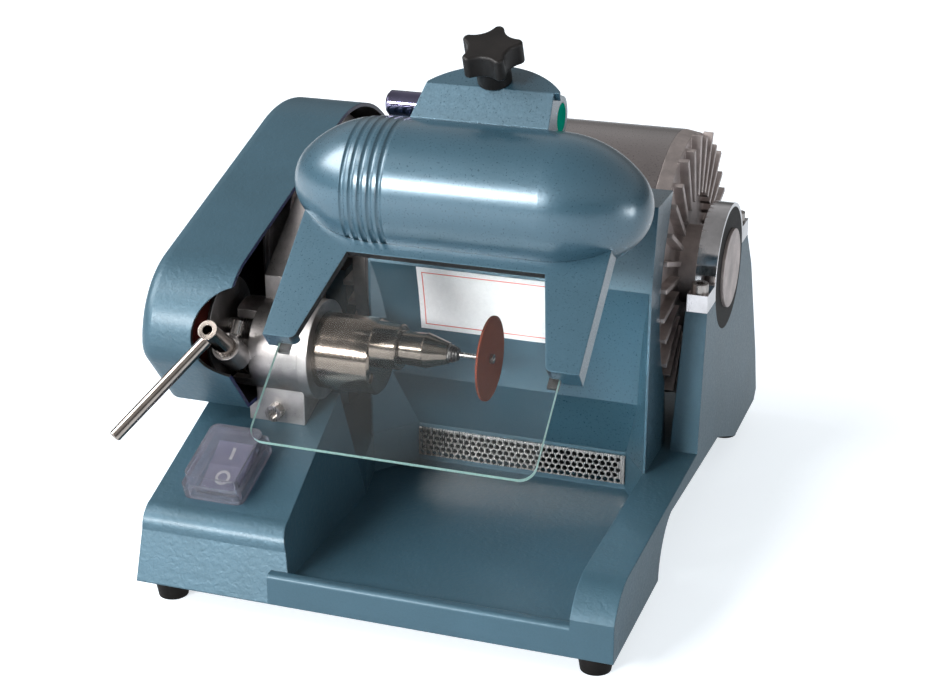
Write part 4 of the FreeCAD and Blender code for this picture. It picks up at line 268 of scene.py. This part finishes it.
def clear_glass():
    """Clear sheet glass with a faint green body and a thin film of dust, that shadows lightly."""
    glass = Finish("clear_shield_glass", Roughness=0.0, IOR=1.22, Transmission_Weight=1.0)
    glass.shader.inputs["Base Color"].default_value = (0.97, 0.992, 0.985, 1.0)
    tree = glass.tree
    output = tree.nodes["Material Output"]
    path = tree.nodes.new("ShaderNodeLightPath")
    clear = tree.nodes.new("ShaderNodeBsdfTransparent")
    clear.inputs["Color"].default_value = (0.95, 0.97, 0.96, 1.0)
    dust = tree.nodes.new("ShaderNodeBsdfDiffuse")
    dust.inputs["Color"].default_value = (0.85, 0.88, 0.88, 1.0)
    film = glass.noise(45.0, 3.0, 0.6)
    dusty = tree.nodes.new("ShaderNodeMixShader")
    tree.links.new(glass.ramp(film, (0.3, 0.004), (0.8, 0.013)), dusty.inputs[0])
    tree.links.new(glass.shader.outputs["BSDF"], dusty.inputs[1])
    tree.links.new(dust.outputs["BSDF"], dusty.inputs[2])
    blend = tree.nodes.new("ShaderNodeMixShader")
    tree.links.new(path.outputs["Is Shadow Ray"], blend.inputs[0])
    tree.links.new(dusty.outputs["Shader"], blend.inputs[1])
    tree.links.new(clear.outputs["BSDF"], blend.inputs[2])
    tree.links.new(blend.outputs["Shader"], output.inputs["Surface"])
    return glass.done()


def glass_edge():
    """Ground edge of the sheet glass: bright green-teal, with fine grinding marks."""
    edge = Finish("ground_glass_edge", Roughness=0.35, Transmission_Weight=0.3, IOR=1.45)
    marks = edge.noise(0.8, 3.0, 0.6)
    edge.set("Base Color", edge.ramp(marks, (0.3, linear(126, 176, 164)), (0.7, linear(178, 214, 206))))
    return edge.done()


def bordered_label():
    """Blank white plate with a thin red frame a little inside its edges."""
    film = Finish("bordered_label_film", Roughness=0.4)
    low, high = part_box("label_plate")
    x, _, z = film.axes()
    border_inset, border_width = 2.4, 0.55

    def inside(inset):
        """1 where the plate's face is further in than inset millimetres."""
        wide = film.within(x, low[0] / MM + inset, high[0] / MM - inset)
        tall = film.within(z, low[2] / MM + inset, high[2] / MM - inset)
        return film.maths("MULTIPLY", wide, tall)

    border = film.maths("SUBTRACT", inside(border_inset), inside(border_inset + border_width))
    pulp = film.noise(1.5, 2.0, 0.5)
    white = film.ramp(pulp, (0.3, linear(238, 236, 238)), (0.7, linear(247, 245, 247)))
    film.set("Base Color", film.mix(border, white, linear(226, 120, 112)))
    return film.done()


def marked_rocker():
    """Lavender-grey rocker with a cream bar on its far half and a cream ring on its near half."""
    key = Finish("marked_rocker_plastic", Roughness=0.3)
    low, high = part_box("rocker")
    x, y, z = key.axes()
    middle = [(low[i] + high[i]) / 2 for i in range(3)]
    bar_half, bar_near, bar_far = 0.8, 4.0, 10.5
    ring_inner, ring_outer, ring_nearer = 2.3, 3.7, 6.0
    side = key.maths("SUBTRACT", x, middle[0])
    ahead = key.maths("MULTIPLY", key.maths("SUBTRACT", y, middle[1]), math.cos(SWITCH_SLOPE))
    rise = key.maths("MULTIPLY", key.maths("SUBTRACT", z, middle[2]), math.sin(SWITCH_SLOPE))
    along = key.maths("ADD", ahead, rise)
    bar = key.maths("MULTIPLY", key.within(side, -bar_half, bar_half),
                    key.within(along, bar_near, bar_far))
    off = key.maths("ADD", along, ring_nearer * MM)
    squares = key.maths("ADD", key.maths("MULTIPLY", side, side), key.maths("MULTIPLY", off, off))
    ring = key.within(key.maths("SQRT", squares, 0.0), ring_inner, ring_outer)
    cloud = key.noise(8.0, 2.0, 0.5)
    body = key.ramp(cloud, (0.3, linear(104, 102, 122)), (0.7, linear(118, 116, 136)))
    key.set("Base Color", key.mix(key.maths("MAXIMUM", bar, ring), body, linear(240, 236, 214)))
    return key.done()


def abrasive():
    """Bonded abrasive disc: brown-red grains, each a little darker or lighter."""
    disc = Finish("brown_abrasive", Roughness=0.9, Specular_IOR_Level=0.05)
    grit = disc.noise(0.45, 3.0, 0.7)
    cloud = disc.noise(6.0, 2.0, 0.5)
    shade = disc.maths("ADD", disc.maths("MULTIPLY", grit, 0.7), disc.maths("MULTIPLY", cloud, 0.3))
    disc.set("Base Color", disc.ramp(shade, (0.3, linear(66, 24, 15)), (0.7, linear(116, 58, 43))))
    disc.bump(grit, 0.15)
    return disc.done()


def boot_plastic():
    """Soft see-through boot over the rocker: milky lavender-grey."""
    boot = Finish("milky_boot", Roughness=0.12, IOR=1.2, Transmission_Weight=0.9)
    boot.round_edges(0.8)
    cloud = boot.noise(5.0, 2.0, 0.5)
    boot.set("Base Color", boot.ramp(cloud, (0.3, linear(196, 196, 208)), (0.7, linear(214, 214, 224))))
    boot.bump(cloud, 0.008)
    return boot.done()


FINISHES = {
    TEAL: ["chamber_wall", "hood_shell", "hood_skirt", "hinge_block", "hood_arm"],
    TEAL_COARSE: ["base_casting", "belt_guard"],
    MOTOR_GREY: ["motor_cover"],
    CAST_DULL: ["motor_cap_left", "motor_cap_right"],
    CAST: ["headstock", "motor_pulley", "spindle_pulley", "lamp_holders"],
    CHROME: ["hub_clamps", "reflector"],
    AXLE: ["hinge_axle"],
    NICKEL: ["spindle_cartridge", "spindle_nose"],
    POLISHED: ["lever_hub", "lever_rod"],
    STEEL: ["mandrel", "disc_screw", "lever_bush", "lever_screw", "cartridge_screw",
            "socket_screws", "dust_grille", "motor_shaft", "spindle_shaft", "drawbar",
            "knob_stud", "release_collar", "motor_bearings", "spindle_bearings"],
    DARK_STEEL: ["collet", "glass_clips", "disc_springs", "rotor_core"],
    RUBBER: ["rubber_feet", "hub_rubbers", "hose_spigot"],
    KNOB: ["star_knob", "power_inlet", "switch_body"],
    BLACK_ENAMEL_AND_PAINTED_SHADE: ["bottom_cover", "suction_duct", "run_capacitor"],
    PLUG_GREEN: ["hinge_plug"],
    marked_rocker(): ["rocker"],
    bordered_label(): ["label_plate"],
    WHITE_CARD: ["lamp_tube"],
    BELT: ["drive_belt"],
    COPPER: ["stator"],
    clear_glass(): ["glass_shield"],
    abrasive(): ["cutting_disc"],
    boot_plastic(): ["switch_boot"],
}

for material, names in FINISHES.items():
    for name in names:
        if name in NODES:
            NODES[name].data.materials.clear()
            NODES[name].data.materials.append(material)

# Where the bench frame's start lies in the row frame, metres.
BASE_LOW, BASE_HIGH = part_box("base_casting")
SHIFT = ((BASE_LOW[0] + BASE_HIGH[0]) / 2, BASE_LOW[1])


def bench(x, y, z):
    """A bench place in millimetres as a place in the row frame in metres."""
    return Vector((x * MM + SHIFT[0], y * MM + SHIFT[1], z * MM))


def faces(node):
    """Centres in bench millimetres and normals of a node's faces, both as arrays."""
    mesh = node.data
    count = len(mesh.polygons)
    centres, normals = np.empty(count * 3), np.empty(count * 3)
    mesh.polygons.foreach_get("center", centres)
    mesh.polygons.foreach_get("normal", normals)
    matrix = np.array(node.matrix_world)
    centres = centres.reshape(-1, 3) @ matrix[:3, :3].T + matrix[:3, 3]
    normals = normals.reshape(-1, 3) @ matrix[:3, :3].T
    centres[:, 0] -= SHIFT[0]
    centres[:, 1] -= SHIFT[1]
    return centres / [MM, MM, MM], normals


def paint_faces(name, material, chosen):
    """Gives the chosen faces of a node a second material."""
    mesh = NODES[name].data
    mesh.materials.append(material)
    index = np.empty(len(mesh.polygons), dtype=np.int32)
    mesh.polygons.foreach_get("material_index", index)
    index[chosen] = len(mesh.materials) - 1
    mesh.polygons.foreach_set("material_index", index)


def paint_guard():
    """Painted shade: black on the faces inside the guard's hollow, and a navy rim where the paint
    stops.
    """
    centres, normals = faces(NODES["belt_guard"])
    start, end = np.array(SPINDLE_AXIS), np.array(MOTOR_AXIS)
    run = end - start
    share = np.clip((centres[:, 1:] - start) @ run / (run @ run), 0.0, 1.0)
    inward = start + share[:, None] * run - centres[:, 1:]
    rim_width, facing = 0.6, 1.0
    rim = centres[:, 0].max() - rim_width
    # Faces that look into the guard's hollow, painted black as shade.
    painted_shade_faces = (np.einsum("ij,ij->i", inward, normals[:, 1:]) > facing) | (
        (normals[:, 0] > 0.9) & (centres[:, 0] < rim))
    paint_faces("belt_guard", BLACK_ENAMEL_AND_PAINTED_SHADE, painted_shade_faces)
    paint_faces("belt_guard", NAVY, (normals[:, 0] > 0.5) & (centres[:, 0] > rim))


def skirt_axes():
    """Directions down along the skirt and square to it."""
    down = np.array([0.0, -math.cos(HOOD_SLOPE), -math.sin(HOOD_SLOPE)])
    return down, np.array([0.0, -math.sin(HOOD_SLOPE), math.cos(HOOD_SLOPE)])


def paint_skirt():
    """Painted shade: black under the skirt plate and on the edges of its window, where shadow falls."""
    centres, normals = faces(NODES["hood_skirt"])
    down, square = skirt_axes()
    place = centres - HOOD_AXIS
    along, above = place @ down, place @ square
    window_middle, window_half, window_start = 19.8, 60.0, 30.0
    plate, inside_depth = 3.6, 9.0
    # The window's edges and the plate's underside, painted black as shade.
    edge = (np.abs(normals @ square) < 0.3) & (above > -plate) & (
        np.abs(centres[:, 0] - window_middle) < window_half) & (along > window_start)
    under = (normals @ square < -0.5) & (above > -inside_depth)
    paint_faces("hood_skirt", BLACK_ENAMEL_AND_PAINTED_SHADE, edge | under)


def paint_glass():
    """A green ground edge all round the glass."""
    _, normals = faces(NODES["glass_shield"])
    _, square = skirt_axes()
    paint_faces("glass_shield", glass_edge(), np.abs(normals @ square) < 0.5)


paint_guard()
paint_skirt()
paint_glass()


def stage_floor():
    """A pale floor that stays white to the eye, in metal and through glass, and keeps the shadow."""
    mesh = bpy.data.meshes.new("studio_floor")
    corners = [(x * FLOOR_REACH, y * FLOOR_REACH, 0) for x, y in ((-1, -1), (1, -1), (1, 1), (-1, 1))]
    mesh.from_pydata(corners, [], [(0, 1, 2, 3)])
    floor = bpy.data.objects.new("studio_floor", mesh)
    bpy.context.scene.collection.objects.link(floor)
    pale = Finish("pale_floor", Base_Color=FLOOR_COLOUR, Roughness=0.6, Specular_IOR_Level=0.2)
    nodes, links = pale.tree.nodes, pale.tree.links
    path = nodes.new("ShaderNodeLightPath").outputs
    mirrored = pale.maths("MULTIPLY", path["Is Glossy Ray"], MIRRORED_SHARE)
    seen = pale.maths("MAXIMUM", path["Is Camera Ray"], mirrored)
    seen = pale.maths("MAXIMUM", seen, path["Is Transmission Ray"])
    glow = nodes.new("ShaderNodeEmission")
    glow.inputs["Color"].default_value = FLOOR_GLOW_COLOUR
    links.new(pale.maths("MULTIPLY", seen, FLOOR_GLOW), glow.inputs["Strength"])
    join = nodes.new("ShaderNodeAddShader")
    links.new(pale.shader.outputs["BSDF"], join.inputs[0])
    links.new(glow.outputs["Emission"], join.inputs[1])
    links.new(join.outputs["Shader"], nodes["Material Output"].inputs["Surface"])
    mesh.materials.append(pale.material)


def soft_box(name, place, aim, wide, high, power):
    """One rectangular lamp that faces its aim."""
    light = bpy.data.lights.new(name, "AREA")
    light.shape = "RECTANGLE"
    light.size, light.size_y = wide, high
    light.energy = power
    lamp = bpy.data.objects.new(name, light)
    lamp.location = place
    lamp.rotation_euler = (Vector(aim) - Vector(place)).to_track_quat("-Z", "Y").to_euler()
    bpy.context.scene.collection.objects.link(lamp)


def studio():
    """World light from all round, and three soft boxes."""
    scene = bpy.context.scene
    world = bpy.data.worlds.new("studio_air")
    scene.world = world
    world.use_nodes = True
    tree = world.node_tree
    back = tree.nodes["Background"]
    back.inputs["Strength"].default_value = 1.0
    coords = tree.nodes.new("ShaderNodeTexCoord")
    split = tree.nodes.new("ShaderNodeSeparateXYZ")
    tree.links.new(coords.outputs["Generated"], split.inputs["Vector"])
    band = tree.nodes.new("ShaderNodeValToRGB")
    tree.links.new(split.outputs["Z"], band.inputs["Fac"])
    stops = band.color_ramp.elements
    given = len(stops)
    for index, (where, level) in enumerate(AIR_LEVELS):
        item = stops[index] if index < given else stops.new(where)
        item.position = where
        item.color = (level, level, level, 1.0)
    tree.links.new(band.outputs["Color"], back.inputs["Color"])
    for box in SOFT_BOXES:
        soft_box(*box)
    scene.view_settings.view_transform = "Standard"


def camera():
    """The photograph's viewpoint, worked out from the outline of the base."""
    data = bpy.data.cameras.new("camera")
    data.sensor_width = SENSOR_WIDTH
    data.lens = FOCAL_WIDTHS * SENSOR_WIDTH
    data.clip_start, data.clip_end = 0.05, 50.0
    seen = bpy.data.objects.new("camera", data)
    across = Vector(CAMERA_ACROSS).normalized()
    back = Vector(CAMERA_BACK).normalized()
    up = back.cross(across).normalized()
    across = up.cross(back).normalized()
    place = bench(*CAMERA_PLACE)
    turn = Matrix((across, up, back)).transposed().to_4x4()
    seen.matrix_world = Matrix.Translation(place) @ turn
    bpy.context.scene.collection.objects.link(seen)
    bpy.context.scene.camera = seen


stage_floor()
studio()
camera()
